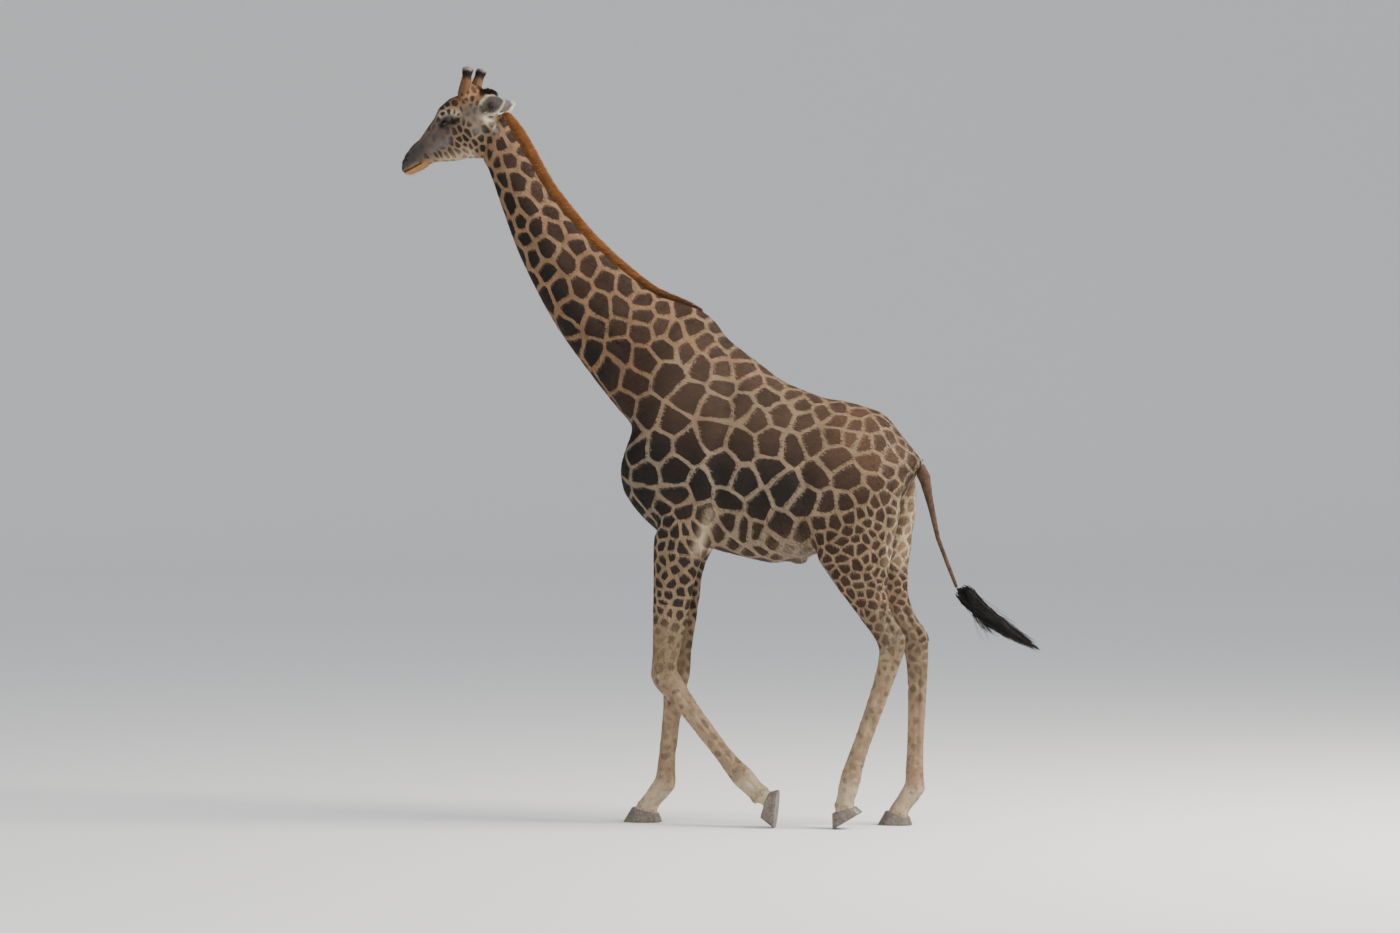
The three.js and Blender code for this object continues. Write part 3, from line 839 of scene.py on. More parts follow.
# %% Strokes on the face
FACE_STROKES = [
    ("cheek bone", [(0.235, 0.005), (0.32, 0.010), (0.41, -0.006)], 0.018, 0.0035),
    ("hollow before the eye", [(0.345, 0.055), (0.385, 0.030)], 0.022, -0.006),
    ("brow", [(0.375, 0.092), (0.43, 0.110), (0.495, 0.084)], 0.018, 0.006),
    ("arch behind the eye", [(0.487, 0.030), (0.55, 0.008), (0.62, -0.004)], 0.021, 0.0055),
    ("temple", [(0.545, 0.068), (0.60, 0.055)], 0.030, -0.009),
    ("jaw muscle", [(0.44, -0.095), (0.50, -0.14)], 0.050, 0.008),
    ("jaw muscle front edge", [(0.385, -0.055), (0.395, -0.12), (0.42, -0.17)], 0.012, -0.004),
    ("jaw edge", [(0.20, -0.058), (0.31, -0.115), (0.42, -0.175)], 0.010, 0.003),
    ("behind the jaw", [(0.60, -0.08), (0.59, -0.15), (0.55, -0.20)], 0.032, -0.010),
    ("cheek groove", [(0.15, -0.034), (0.24, -0.050), (0.34, -0.078)], 0.016, -0.003),
    ("nose side", [(0.12, 0.045), (0.22, 0.062), (0.31, 0.082)], 0.014, -0.004),
    ("nostril rim", [(0.036, 0.034), (0.060, 0.052), (0.098, 0.058)], 0.009, 0.006),
    ("nostril lower rim", [(0.048, 0.012), (0.072, 0.026), (0.102, 0.034)], 0.007, 0.004),
    ("nostril", [(0.040, 0.022), (0.058, 0.037), (0.080, 0.044), (0.100, 0.045)], 0.0055, -0.015),
    ("upper lip", [(0.012, -0.018), (0.060, -0.020), (0.115, -0.026)], 0.012, 0.004),
    ("mouth", [(0.000, -0.022), (0.040, -0.034), (0.090, -0.040), (0.140, -0.044)], 0.0045, -0.008),
    ("lower lip", [(0.020, -0.045), (0.070, -0.055)], 0.012, 0.003),
    ("mouth corner", [(0.142, -0.045)], 0.010, -0.004),
]


def face_strokes(tree):
    strokes = []
    turn = HEAD_TO_WORLD.to_3x3()
    for _, line, width, height in FACE_STROKES:
        for side in SIDES.values():
            starts = [head_point(along, side * 0.3, up) for along, up in curved(line)]
            strokes.append((laid(tree, starts, turn @ Vector((0, -side, 0))), width, height))
    return strokes


def muzzle_part(points):
    along, out, up = to_head(points).T
    return (np.abs(along - 0.07) < 0.10) & (np.abs(out) < 0.15) & (np.abs(up + 0.005) < 0.070)


def eye_part(points, reach):
    return near(points, EYES["left"], reach) | near(points, EYES["right"], reach)


def muzzle_or_eyes(points):
    return muzzle_part(points) | eye_part(points, 0.062)


refined(skin_mesh, muzzle_or_eyes(places(skin_mesh)))
softened(skin_mesh, muzzle_or_eyes(places(skin_mesh)), 3)
refined(skin_mesh, eye_part(places(skin_mesh), 0.036))
brushed(skin_mesh, face_strokes(tree_of(skin_mesh)))
print("skin with a face:", len(skin_mesh.polygons), "faces")

# %% [markdown]
# ## Eyelids
# The lids are part of the hide: it is drawn round the eyeball as a thick almond-shaped opening.
# Vertices inside the almond go behind the ball. Those at its rim are set exactly on it, a lid's
# thickness out from the ball, so that the rim is a clean line although the mesh beneath is a grid.

# %% The shape of the eye's opening
LID_HALF_WIDTH = 0.0205
LID_RISE = {"upper": 0.0140, "lower": 0.0118}
LID_THICKNESS = 0.0040
LID_REACH = 0.030
EYE_SLANT = math.radians(-15)  # the back corner is the lower one, against the line of the head


def eye_frame(side):
    """Axes at an eye: towards the poll, up, and out of the head."""
    sign = SIDES[side]
    turn = HEAD_TO_WORLD.to_3x3()
    out = (turn @ Vector((-0.26, sign * 0.95, 0.12))).normalized()
    back = turn @ Vector((math.cos(EYE_SLANT), 0, math.sin(EYE_SLANT)))
    back = (back - back.dot(out) * out).normalized()
    up = out.cross(back)
    return np.array((back, up if up.z > 0 else -up, out))


def outside_lens(across, up):
    """The distance out of the eye's opening, which is where two round arcs overlap."""
    radii = {lid: (LID_HALF_WIDTH**2 + rise**2) / (2 * rise) for lid, rise in LID_RISE.items()}
    over = np.hypot(across, up - LID_RISE["upper"] + radii["upper"]) - radii["upper"]
    under = np.hypot(across, up + LID_RISE["lower"] - radii["lower"]) - radii["lower"]
    return np.maximum(over, under)


def ball_height(radius, across, up):
    """How far a ball stands out at a place beside its middle. Past its rim it runs on as a slope."""
    aside = np.hypot(across, up)
    inside = np.minimum(aside, 0.80 * radius)
    slope = inside / np.sqrt(radius**2 - inside**2)
    return np.sqrt(radius**2 - inside**2) - slope * (aside - inside)


print("opening of the eye:", 2 * LID_HALF_WIDTH, "by", round(sum(LID_RISE.values()), 4), "m")


# %% Eyelids
def lids(mesh, side):
    """Draws the hide over one eyeball, with a thick rim, two folds and an opening."""
    points = places(mesh)
    centre = np.array(EYES[side])
    axes = eye_frame(side)
    across, up, out = ((points - centre) @ axes.T).T
    outside = outside_lens(across, up)
    facing = (out > -0.012) & (np.hypot(across, up) < 0.055)
    over = ramp(up, -0.004, 0.004)
    rim = np.sqrt(np.clip(1 - (1 - np.clip(outside / 0.0030, 0, 1)) ** 2, 0, 1))
    lid = 0.0006 + LID_THICKNESS * (0.7 + 0.3 * over) * rim
    folds = -0.0020 * faded(outside - 0.0085, 0.0016) * over
    folds -= 0.0012 * faded(outside - 0.0145, 0.0020)
    sunk = -0.0020 - 0.0040 * np.clip(-outside / 0.003, 0, 1)
    lifted = ball_height(EYE_RADIUS, across, up) + np.where(outside < 0, sunk, lid + folds)
    share = (1 - ramp(outside, 0.006, LID_REACH)) * facing
    put(mesh, points + (share * (lifted - out))[:, None] * axes[2])
    return facing & (outside < LID_REACH)


for side in SIDES:
    shaped = lids(skin_mesh, side)
    print(side, "lid vertices:", int(shaped.sum()))


# %% [markdown]
# ## Parts of the hide
# Colour, patch size and the lie of the hair change from part to part. Each vertex belongs to the part
# whose solid is nearest. Easing these shares over the mesh lets one part fade into the next.

# %% Shares of the parts
PARTS = {
    "head": ["head"] + [f"{thing}_{side}" for thing in ("eye", "ossicone") for side in SIDES],
    "ear": ["ear_left", "ear_right"],
    "neck": ["neck_upper", "neck_lower"],
    "trunk": ["trunk"],
    "forearm": ["leg_fore_left_upper", "leg_fore_right_upper"],
    "thigh": ["leg_hind_left_upper", "leg_hind_right_upper"],
    "shin": [f"leg_{leg}_lower" for leg in LEG_NAMES],
    "foot": [f"leg_{leg}_foot" for leg in LEG_NAMES] + CLAWS,
    "tail": ["tail"],
}
PART_NAMES = list(PARTS)
part_solids, part_owners = all_solids([node for nodes in PARTS.values() for node in nodes], 0.0)
part_tree = BVHTree.FromBMesh(part_solids)
part_solids.free()
part_of_node = {node: i for i, nodes in enumerate(PARTS.values()) for node in nodes}
part_of_face = np.array([part_of_node[node] for node in part_owners])
hide_points = places(skin_mesh)
hide_normals = normals(skin_mesh)
hide_edges = edges_of(skin_mesh)
nearest_face = np.array([part_tree.find_nearest(point)[2] for point in hide_points])
one_hot = np.eye(len(PARTS))[part_of_face[nearest_face]]
part_share = dict(zip(PART_NAMES, eased(one_hot, hide_edges, 10).T))
hide_part = one_hot.argmax(axis=1)
print("vertices of each part:", {name: int((hide_part == i).sum()) for i, name in enumerate(PART_NAMES)})

# %% [markdown]
# ## The lie of the hair
# Hair lies away from the muzzle: up the face, down the neck, back along the trunk and down the legs.
# One wanted direction for each part, mixed by the shares and laid flat on the skin, gives the lie.


# %% The lie of the hair
def flow():
    x, y, z = hide_points.T
    turn = np.array(HEAD_TO_WORLD.to_3x3())
    ways = {
        "head": np.tile(turn @ (1.0, 0.0, -0.25), (len(x), 1)),
        "neck": np.column_stack((0.55 + 0 * x, 0 * x, -0.85 + 0 * x)),
        "trunk": np.column_stack((1.0 + 0 * x, 0 * x, -0.45 - 0.6 * ramp(-z, -2.3, -1.8))),
        "forearm": np.tile((0.08, 0, -1.0), (len(x), 1)),
        "thigh": np.tile((0.25, 0, -1.0), (len(x), 1)),
        "shin": np.tile((0.0, 0, -1.0), (len(x), 1)),
        "foot": np.tile((-0.3, 0, -1.0), (len(x), 1)),
        "tail": np.tile((0.3, 0, -1.0), (len(x), 1)),
    }
    for side, sign in SIDES.items():
        to_tip = np.array(ear_frame(side)[0].to_3x3()) @ (1.0, 0.0, 0.0)
        ears = ways.setdefault("ear", np.zeros((len(x), 3)))
        ears[to_head(hide_points)[:, 1] * sign > 0] = to_tip
    lie = sum(part_share[name][:, None] * unit(way) for name, way in ways.items())
    lie -= (lie * hide_normals).sum(axis=1)[:, None] * hide_normals
    return unit(eased(unit(lie), hide_edges, 6))


hide_lie = flow()
print("mean lie:", hide_lie.mean(axis=0).round(2))

# %% [markdown]
# ## Colours of the hide
# Every vertex gets a colour for the patches, one for the net between them, the spacing of the patches
# and half the width of a line of the net. Each part has its own values, and washes then shift them
# locally. A wash is a soft line in the side view, like a stroke, with what it changes. Most washes are
# the coat's own colours, and a few paint shade or highlights into it, as noted beside them.


# %% Colours and patch sizes of the parts
def tone(red, green, blue):
    """A colour given as screen values, as the linear values that shaders use."""
    screen = np.array((red, green, blue)) / 255
    return np.where(screen <= 0.04045, screen / 12.92, ((screen + 0.055) / 1.055) ** 2.4)


BROWN = tone(52, 35, 24)
DARK_BROWN = tone(37, 26, 19)
NEAR_BLACK = tone(24, 19, 16)
GREY_BROWN = tone(64, 47, 34)
RED_BROWN = tone(72, 51, 36)
ORANGE_TAN = tone(127, 99, 73)
TAN = tone(126, 105, 82)
LEG_TAN = tone(140, 118, 94)
GREY_CREAM = tone(126, 111, 92)
CREAM = tone(178, 160, 132)
WHITE = tone(222, 214, 198)
GREY = tone(112, 104, 98)
FACE_GREY = tone(92, 78, 70)
MUZZLE_GREY = tone(60, 54, 52)
GOLD = tone(158, 116, 68)
LID_GREY = tone(84, 72, 72)
HORN_GOLD = tone(128, 90, 56)
# Part: spacing of the patches, half a line's width, patch colour, net colour.
HIDE = {
    "head": (0.040, 0.0075, DARK_BROWN, TAN),
    "ear": (0.060, 0.0300, GREY, GREY),
    "neck": (0.120, 0.0110, BROWN, ORANGE_TAN),
    "trunk": (0.190, 0.0115, BROWN, TAN),
    "forearm": (0.078, 0.0090, DARK_BROWN, TAN),
    "thigh": (0.072, 0.0075, BROWN, TAN),
    "shin": (0.056, 0.0120, LEG_TAN * 0.76, LEG_TAN),
    "foot": (0.045, 0.0140, CREAM * 0.70, CREAM * 0.85),
    "tail": (0.050, 0.0100, GREY_BROWN * 1.3, GREY_BROWN * 1.7),
}
hide_spacing, hide_line = (
    sum(part_share[name] * HIDE[name][i] for name in PART_NAMES) for i in (0, 1)
)
patch_colour, net_colour = (
    sum(part_share[name][:, None] * HIDE[name][i] for name in PART_NAMES) for i in (2, 3)
)
VALUES = {"spacing": hide_spacing, "line": hide_line, "patch": patch_colour, "net": net_colour}
print("patch spacing:", hide_spacing.min().round(3), "to", hide_spacing.max().round(3), "m")


# %% Washes
def washed(share, changes):
    for name, value in changes.items():
        values = VALUES[name]
        by = share if values.ndim == 1 else share[:, None]
        values += by * (value - values)


def flat_distance(across, up, line):
    spots = np.column_stack((across, np.zeros(len(across)), up))
    return distance_to_line(spots, [(a, 0.0, b) for a, b in curved(line)])


# Parts that it reaches, line in the side view as (x, z), width, changes.
BODY_WASHES = [
    ("neck", [(-1.45, 4.15), (-1.35, 3.95)], 0.22, {"spacing": 0.080, "line": 0.011}),
    ("neck", [(-1.20, 3.75), (-1.05, 3.50)], 0.25, {"spacing": 0.105}),
    ("neck trunk", [(-0.75, 2.95), (-0.40, 2.55)], 0.30, {"spacing": 0.185, "line": 0.0115}),
    ("neck trunk", [(-0.55, 3.14), (-0.20, 2.98), (0.10, 2.78), (0.60, 2.55), (0.95, 2.48)], 0.10,
     {"spacing": 0.105, "patch": GREY_BROWN, "net": ORANGE_TAN}),
    ("trunk", [(-0.10, 2.60), (0.35, 2.50), (0.70, 2.38)], 0.20, {"patch": GREY_BROWN, "net": TAN}),
    # Near-black patches on the lower trunk: dark coat, deepened with painted shade of the underside.
    ("trunk", [(-0.50, 2.20), (0.00, 2.08), (0.48, 2.02)], 0.20,
     {"patch": NEAR_BLACK, "net": GREY_CREAM}),
    ("trunk thigh", [(0.85, 2.40), (1.05, 2.25)], 0.22,
     {"spacing": 0.110, "line": 0.010, "patch": RED_BROWN}),
    ("trunk thigh", [(1.12, 2.35), (1.20, 2.15)], 0.13, {"spacing": 0.090, "line": 0.009}),
    ("trunk", [(0.10, 1.75), (0.50, 1.68)], 0.12, {"spacing": 0.095, "line": 0.015, "net": GREY_CREAM}),
    ("trunk", [(0.48, 1.66), (0.66, 1.64)], 0.07, {"patch": GREY_CREAM * 0.7, "line": 0.020}),
    # Near-black patches down the front of the neck: dark coat and painted shade together.
    ("neck", [(-1.40, 3.95), (-1.10, 3.40), (-0.72, 2.75)], 0.10, {"patch": NEAR_BLACK}),
    # Near-black patches on the chest front: dark coat, deepened with painted shade of the side facing away
    # from the light.
    ("trunk forearm", [(-0.56, 2.28), (-0.50, 2.00), (-0.36, 1.82)], 0.12,
     {"patch": NEAR_BLACK, "net": GREY_CREAM}),
    # Cream behind the elbow: a painted highlight where the light catches the back of the leg.
    ("trunk forearm", [(0.00, 1.90), (-0.03, 1.78), (-0.08, 1.66)], 0.030,
     {"patch": CREAM * 0.72, "net": CREAM * 0.9}),
    # Cream down the back of the thigh: pale hair, brightened with a painted highlight along the rim.
    ("thigh", [(1.22, 2.10), (1.17, 1.85), (1.10, 1.60)], 0.050, {"patch": TAN, "net": CREAM}),
    ("thigh", [(0.95, 1.75), (1.02, 1.45)], 0.20, {"spacing": 0.056, "line": 0.007}),
    ("thigh", [(1.06, 1.35), (1.14, 1.12)], 0.14, {"spacing": 0.050, "patch": GREY_BROWN, "net": TAN}),
    ("thigh", [(1.10, 1.20), (1.15, 1.06)], 0.10,
     {"patch": LEG_TAN * 0.45, "net": LEG_TAN * 0.8, "line": 0.009}),
    ("shin", [(1.17, 1.05), (1.15, 0.90)], 0.13, {"patch": LEG_TAN * 0.42, "net": LEG_TAN * 0.8}),
    ("shin", [(-0.32, 0.95), (-0.30, 0.80)], 0.12, {"patch": LEG_TAN * 0.50, "net": LEG_TAN * 0.85}),
    ("forearm", [(-0.25, 1.50), (-0.27, 1.20)], 0.18, {"spacing": 0.062, "line": 0.010}),
    ("forearm", [(-0.29, 1.10), (-0.29, 0.92)], 0.13, {"patch": TAN * 0.75, "line": 0.013}),
    # Darker net along the flank fold: painted shade in the crease.
    ("thigh trunk", [(0.61, 2.14), (0.58, 1.93), (0.60, 1.74)], 0.022, {"net": ORANGE_TAN * 0.7}),
]
for names, line, width, changes in BODY_WASHES:
    reach = sum(part_share[name] for name in names.split())
    away = flat_distance(hide_points[:, 0], hide_points[:, 2], line)
    washed(reach * faded(away, width), changes)
print("washes:", len(BODY_WASHES), "on the body")

# %% The face
# Lines in the head's coordinates as (along, up), from the muzzle.
FACE_WASHES = [
    ([(0.36, -0.06), (0.47, -0.09), (0.58, -0.11)], 0.075, {"spacing": 0.046, "line": 0.0055}),
    ([(0.17, -0.090), (0.32, -0.135), (0.45, -0.190)], 0.036,
     {"patch": TAN, "net": CREAM * 0.9, "spacing": 0.032}),
    ([(0.14, 0.04), (0.27, 0.04), (0.37, 0.02)], 0.088, {"patch": FACE_GREY, "net": FACE_GREY}),
    ([(0.24, -0.02), (0.33, -0.03), (0.38, -0.04)], 0.020, {"patch": GREY * 0.8, "net": GREY * 0.8}),
    ([(0.02, 0.01), (0.12, 0.02), (0.16, 0.03)], 0.062, {"patch": MUZZLE_GREY, "net": MUZZLE_GREY}),
    ([(-0.01, -0.035), (0.07, -0.048), (0.16, -0.066)], 0.020, {"patch": GOLD, "net": GOLD}),
    ([(0.58, 0.14), (0.67, 0.17), (0.74, 0.13), (0.72, 0.06)], 0.065,
     {"patch": RED_BROWN, "net": HORN_GOLD}),
    ([(0.60, 0.03), (0.65, -0.02)], 0.040, {"patch": GREY, "net": GREY_CREAM}),
    ([(0.425, 0.118), (0.48, 0.108), (0.530, 0.050)], 0.025,
     {"patch": GREY_BROWN, "net": CREAM, "spacing": 0.024, "line": 0.0075}),
    ([(0.395, 0.060), (0.44, 0.078), (0.480, 0.060)], 0.018, {"patch": LID_GREY, "net": LID_GREY}),
    ([(0.640, -0.050), (0.672, -0.100), (0.678, -0.17)], 0.018,
     {"patch": CREAM * 0.8, "net": WHITE * 0.75}),
    ([(0.570, 0.020), (0.600, -0.050), (0.585, -0.100)], 0.034, {"patch": GREY * 0.8, "net": GREY_CREAM}),
    # Near-black along the eye: the dark rim of the eye, with painted shade of the lids and lashes.
    ([(0.395, 0.056), (0.44, 0.042), (0.500, 0.022)], 0.023, {"patch": NEAR_BLACK, "net": NEAR_BLACK}),
    # Near-black in the nostril slits: painted shade inside the grooves.
    ([(0.040, 0.022), (0.058, 0.037), (0.100, 0.045)], 0.0050,
     {"patch": NEAR_BLACK * 0.3, "net": NEAR_BLACK * 0.3}),
    # Near-black along the mouth: painted shade in the crease between the lips.
    ([(0.000, -0.022), (0.090, -0.040), (0.140, -0.044)], 0.0042,
     {"patch": NEAR_BLACK * 0.5, "net": NEAR_BLACK * 0.5}),
]
POLL_LINE = [(0.77, 0.09), (0.83, 0.06)]
face_along, face_out, face_up = to_head(hide_points).T
head_normals = hide_normals @ np.array(HEAD_TO_WORLD.to_3x3())
face_share = part_share["head"] + part_share["neck"] * near(hide_points, head_point(0.68, 0, -0.1), 0.35)
for line, width, changes in FACE_WASHES:
    washed(face_share * faded(flat_distance(face_along, face_up, line), width), changes)
on_top = part_share["head"] * ramp(head_normals[:, 2], 0.50, 0.85)
top_band = on_top * ramp(face_along, 0.20, 0.28) * ramp(-face_along, -0.62, -0.56)
washed(top_band, {"patch": NEAR_BLACK, "net": DARK_BROWN})
washed(0.7 * top_band * faded(face_along - 0.54, 0.03), {"patch": RED_BROWN, "net": HORN_GOLD})
poll = part_share["head"] * faded(flat_distance(face_along, face_up, POLL_LINE), 0.045)
washed(poll, {"patch": NEAR_BLACK, "net": DARK_BROWN})
print("washes:", len(FACE_WASHES), "on the face")


# %% The ears
def in_ear(side, points):
    """Shares of the ear's length and half height, and its depth, with the hollow at minus."""
    matrix, length = ear_frame(side)
    at, deep, tall = moved_by(matrix.inverted(), points).T
    at = at / length
    half = np.interp(at, EAR_SHAPE[:, 0], EAR_SHAPE[:, 1])
    return at, tall / np.maximum(half, 0.004), deep


ear_hollow = np.zeros(len(hide_points))
for side, sign in SIDES.items():
    mine = part_share["ear"] * (face_out * sign > 0)
    at, tall, deep = in_ear(side, hide_points)
    facing = hide_normals @ np.array(ear_frame(side)[0].to_3x3())[:, 1]
    inner = ramp(-facing, -0.1, 0.35) * (at > 0.04)
    washed(mine * (1 - inner), {"patch": GREY_CREAM, "net": CREAM * 0.9})
    ear_hollow += mine * inner * (np.abs(tall) < 0.85)
    # Near-black deep in the hollow of the ear: painted shade.
    pit_shade = inner * np.exp(-(((at - 0.30) / 0.24) ** 2 + ((tall + 0.10) / 0.55) ** 4))
    washed(mine * pit_shade, {"patch": NEAR_BLACK, "net": NEAR_BLACK})
    washed(mine * inner * ramp(np.abs(tall), 0.72, 0.95), {"patch": WHITE, "net": WHITE})
    # White tip of the ear: pale hair, brightened with a painted highlight.
    washed(mine * ramp(at, 0.90, 1.0), {"patch": WHITE, "net": WHITE})
print("vertices in the hollows of the ears:", int((ear_hollow > 0.5).sum()))

# %% [markdown]
# ### Weather and wear
# No coat has clean colours. Clouds of noise make it lighter and darker, in sizes from a hand's width to
# a few hairs, and the legs are streaked most, because they walk through dust.


# %% Weather and wear in the colours
def cloud(points, scale):
    return np.array([noise.noise(Vector(p) * scale) for p in points])


mottle = 0.16 * cloud(hide_points, 3.0) + 0.20 * cloud(hide_points, 14.0)
mottle = np.exp(mottle + 0.10 * cloud(hide_points, 45.0))
on_legs = part_share["shin"] + 0.6 * part_share["foot"]
leg_dust = 0.30 * cloud(hide_points * (1, 1, 0.5), 22.0) + 0.12 * cloud(hide_points, 70.0)
mottle *= np.exp(on_legs * leg_dust)
patch_colour *= mottle[:, None]
net_colour *= mottle[:, None]
print("lightest and darkest wear:", mottle.max().round(2), mottle.min().round(2))

# %% [markdown]
# ## The patches
# A giraffe's patches look like cells that have grown until only a thin net is left between them.
# Cells grow here too: seeds are scattered on the hide, never nearer to each other than the spacing,
# and each point belongs to its nearest seed. Space is squeezed along the neck and on the belly before
# that, so patches come out longer there, and bent a little by noise, so no side is quite straight.

# %% The space that the pattern grows in
NECK_AXIS = unit(np.array((-0.52, 0.0, 0.85)))
NECK_LONGER = 1.4
NECK_START = 2.9  # metres along the axis of the neck
NECK_SOFT = 0.25
BELLY_LONGER = 1.5
BELLY_TOP = 1.92  # metres above the floor
BELLY_SOFT = NECK_SOFT * 0.4
BEND = 0.10  # noise bends the patches by this much, times a share for each height
BEND_HEIGHTS = (0.0, 1.0, 2.0, 4.0)
BEND_SHARES = (0.10, 0.16, 0.34, 0.22)


def softly_above(values, soft):
    """0 well below 0 and the value itself well above it, with a soft bend between."""
    return soft * np.log1p(np.exp(values / soft))


def wobble(point):
    return noise.noise_vector(point * 5.0) + 0.30 * noise.noise_vector(point * 17.0)


def squeezed(points):
    """Where each point lies in the pattern's space."""
    points = np.array(points, float)
    past = softly_above(points @ NECK_AXIS - NECK_START, NECK_SOFT)
    low = softly_above(BELLY_TOP - points[:, 2], BELLY_SOFT)
    on_belly = ramp(points[:, 0], -0.15, 0.05) * ramp(-points[:, 0], -0.68, -0.5)
    bent = np.array([wobble(Vector(p)) for p in points])
    moved = points - (past * (1 - 1 / NECK_LONGER))[:, None] * NECK_AXIS
    moved[:, 2] += np.minimum(low, 0.30) * (1 - 1 / BELLY_LONGER) * on_belly
    share = np.interp(points[:, 2], BEND_HEIGHTS, BEND_SHARES)
    return moved + bent * BEND * share[:, None]


hide_space = squeezed(hide_points)
shift = np.linalg.norm(hide_space - hide_points, axis=1)
print("squeezed and bent by up to", shift.max().round(3), "m")

# %% Seeds
CANDIDATES = 24000
CLOSEST = 0.86  # of the spacing
AROUND = [(a, b, c) for a in (-1, 0, 1) for b in (-1, 0, 1) for c in (-1, 0, 1)]


def scattered(points, spacing, order):
    """Picks points one by one, and skips those that are too close to one picked before."""
    cell = spacing.max()
    grid, picked = {}, []
    for i in order:
        key = tuple(np.floor(points[i] / cell).astype(int))
        close = [j for a, b, c in AROUND for j in grid.get((key[0] + a, key[1] + b, key[2] + c), ())]
        if close and (np.linalg.norm(points[close] - points[i], axis=1) < CLOSEST * spacing[i]).any():
            continue
        grid.setdefault(key, []).append(i)
        picked.append(i)
    return np.array(picked)


hide_line *= 1 + 0.35 * np.array([noise.noise(Vector(p) * 11.0) for p in hide_points])
face_sizes = numbers(skin_mesh.polygons, "area", 1)
vertex_size = np.zeros(len(hide_points))
loop_vertex = numbers(skin_mesh.loops, "vertex_index", 1, np.int32)
loop_total = numbers(skin_mesh.polygons, "loop_total", 1, np.int32)
np.add.at(vertex_size, loop_vertex, np.repeat(face_sizes / loop_total, loop_total))
chance = vertex_size / vertex_size.sum()
some = RANDOM.choice(len(hide_points), CANDIDATES, replace=False, p=chance)
uneven = hide_spacing * RANDOM.uniform(0.74, 1.28, len(hide_spacing))
seeds = hide_space[scattered(hide_space, uneven, some)]
print("patches:", len(seeds))


# %% Evening out the patches
# Each seed moves to the middle of the candidates in its own cell.
def tree_of_points(points):
    tree = KDTree(len(points))
    for i, point in enumerate(points):
        tree.insert(point, i)
    tree.balance()
    return tree


tree = tree_of_points(seeds)
owner = np.array([tree.find(hide_space[i])[1] for i in some])
count = np.bincount(owner, minlength=len(seeds))
sums = np.column_stack([np.bincount(owner, hide_space[some][:, i], len(seeds)) for i in range(3)])
seeds = np.where(count[:, None] > 0, sums / np.maximum(count, 1)[:, None], seeds)
print("candidates in a patch:", count.min(), "to", count.max())

# %% The nearest seeds of every face
SEEDS_PER_FACE = 4
seed_tree = tree_of_points(seeds)
loop_face = np.repeat(np.arange(len(loop_total)), loop_total)
face_space = np.column_stack(
    [np.bincount(loop_face, hide_space[loop_vertex, i]) / loop_total for i in range(3)]
)
near_seeds = np.array(
    [[index for _, index, _ in seed_tree.find_n(point, SEEDS_PER_FACE)] for point in face_space]
)
seed_tone = RANDOM.normal(0, 1, len(seeds))


def attribute(mesh, name, kind, domain, values):
    slot = {"FLOAT": "value", "FLOAT_VECTOR": "vector", "FLOAT_COLOR": "color"}[kind]
    made = mesh.attributes.new(name, kind, domain)
    made.data.foreach_set(slot, np.ascontiguousarray(values, np.float32).ravel())


def opaque(colours):
    return np.column_stack((colours, np.ones(len(colours))))


for i, letter in enumerate("abcd"):
    attribute(skin_mesh, f"seed_{letter}", "FLOAT_VECTOR", "FACE", seeds[near_seeds[:, i]])
    attribute(skin_mesh, f"tone_{letter}", "FLOAT", "FACE", seed_tone[near_seeds[:, i]])
attribute(skin_mesh, "pattern_place", "FLOAT_VECTOR", "POINT", hide_space)
attribute(skin_mesh, "half_line", "FLOAT", "POINT", hide_line)
attribute(skin_mesh, "patch_colour", "FLOAT_COLOR", "POINT", opaque(patch_colour))
attribute(skin_mesh, "net_colour", "FLOAT_COLOR", "POINT", opaque(net_colour))
print("faces with their seeds:", len(near_seeds))

# %% [markdown]
# ## The coat's shader
# One node group turns the four seeds of a face into the patch mask: the two smallest distances are
# equal on a border, and their difference tells how far in a point lies. A second group mixes the
# colours, with a tone for each patch, and adds the fine grain of hair.


# %% Building node groups
class Graph:
    """Short names for adding nodes and joining sockets in one node tree."""

    def __init__(self, tree):
        self.tree = tree

    def node(self, kind, **settings):
        made = self.tree.nodes.new(kind)
        for name, value in settings.items():
            setattr(made, name, value)
        return made

    def feed(self, value, socket):
        if isinstance(value, bpy.types.NodeSocket):
            self.tree.links.new(value, socket)
        elif value is not None:
            socket.default_value = value

    def math(self, operation, *values):
        made = self.node("ShaderNodeMath", operation=operation)
        for value, socket in zip(values, made.inputs):
            self.feed(value, socket)
        return made.outputs[0]

    def distance(self, one, two):
        made = self.node("ShaderNodeVectorMath", operation="DISTANCE")
        self.feed(one, made.inputs[0])
        self.feed(two, made.inputs[1])
        return made.outputs["Value"]

    def mix(self, share, one, two):
        made = self.node("ShaderNodeMix", data_type="RGBA")
        self.feed(share, made.inputs[0])
        self.feed(one, made.inputs[6])
        self.feed(two, made.inputs[7])
        return made.outputs[2]

    def spread(self, value, low, high, to_low=0.0, to_high=1.0):
        made = self.node("ShaderNodeMapRange", interpolation_type="SMOOTHSTEP")
        for value, socket in zip((value, low, high, to_low, to_high), made.inputs):
            self.feed(value, socket)
        return made.outputs[0]

    def noise(self, where, scale, detail=2.0, rough=0.5):
        made = self.node("ShaderNodeTexNoise")
        self.feed(where, made.inputs["Vector"])
        made.inputs["Scale"].default_value = scale
        made.inputs["Detail"].default_value = detail
        made.inputs["Roughness"].default_value = rough
        return made.outputs["Fac"]

    def read(self, name, output="Color"):
        return self.node("ShaderNodeAttribute", attribute_name=name).outputs[output]


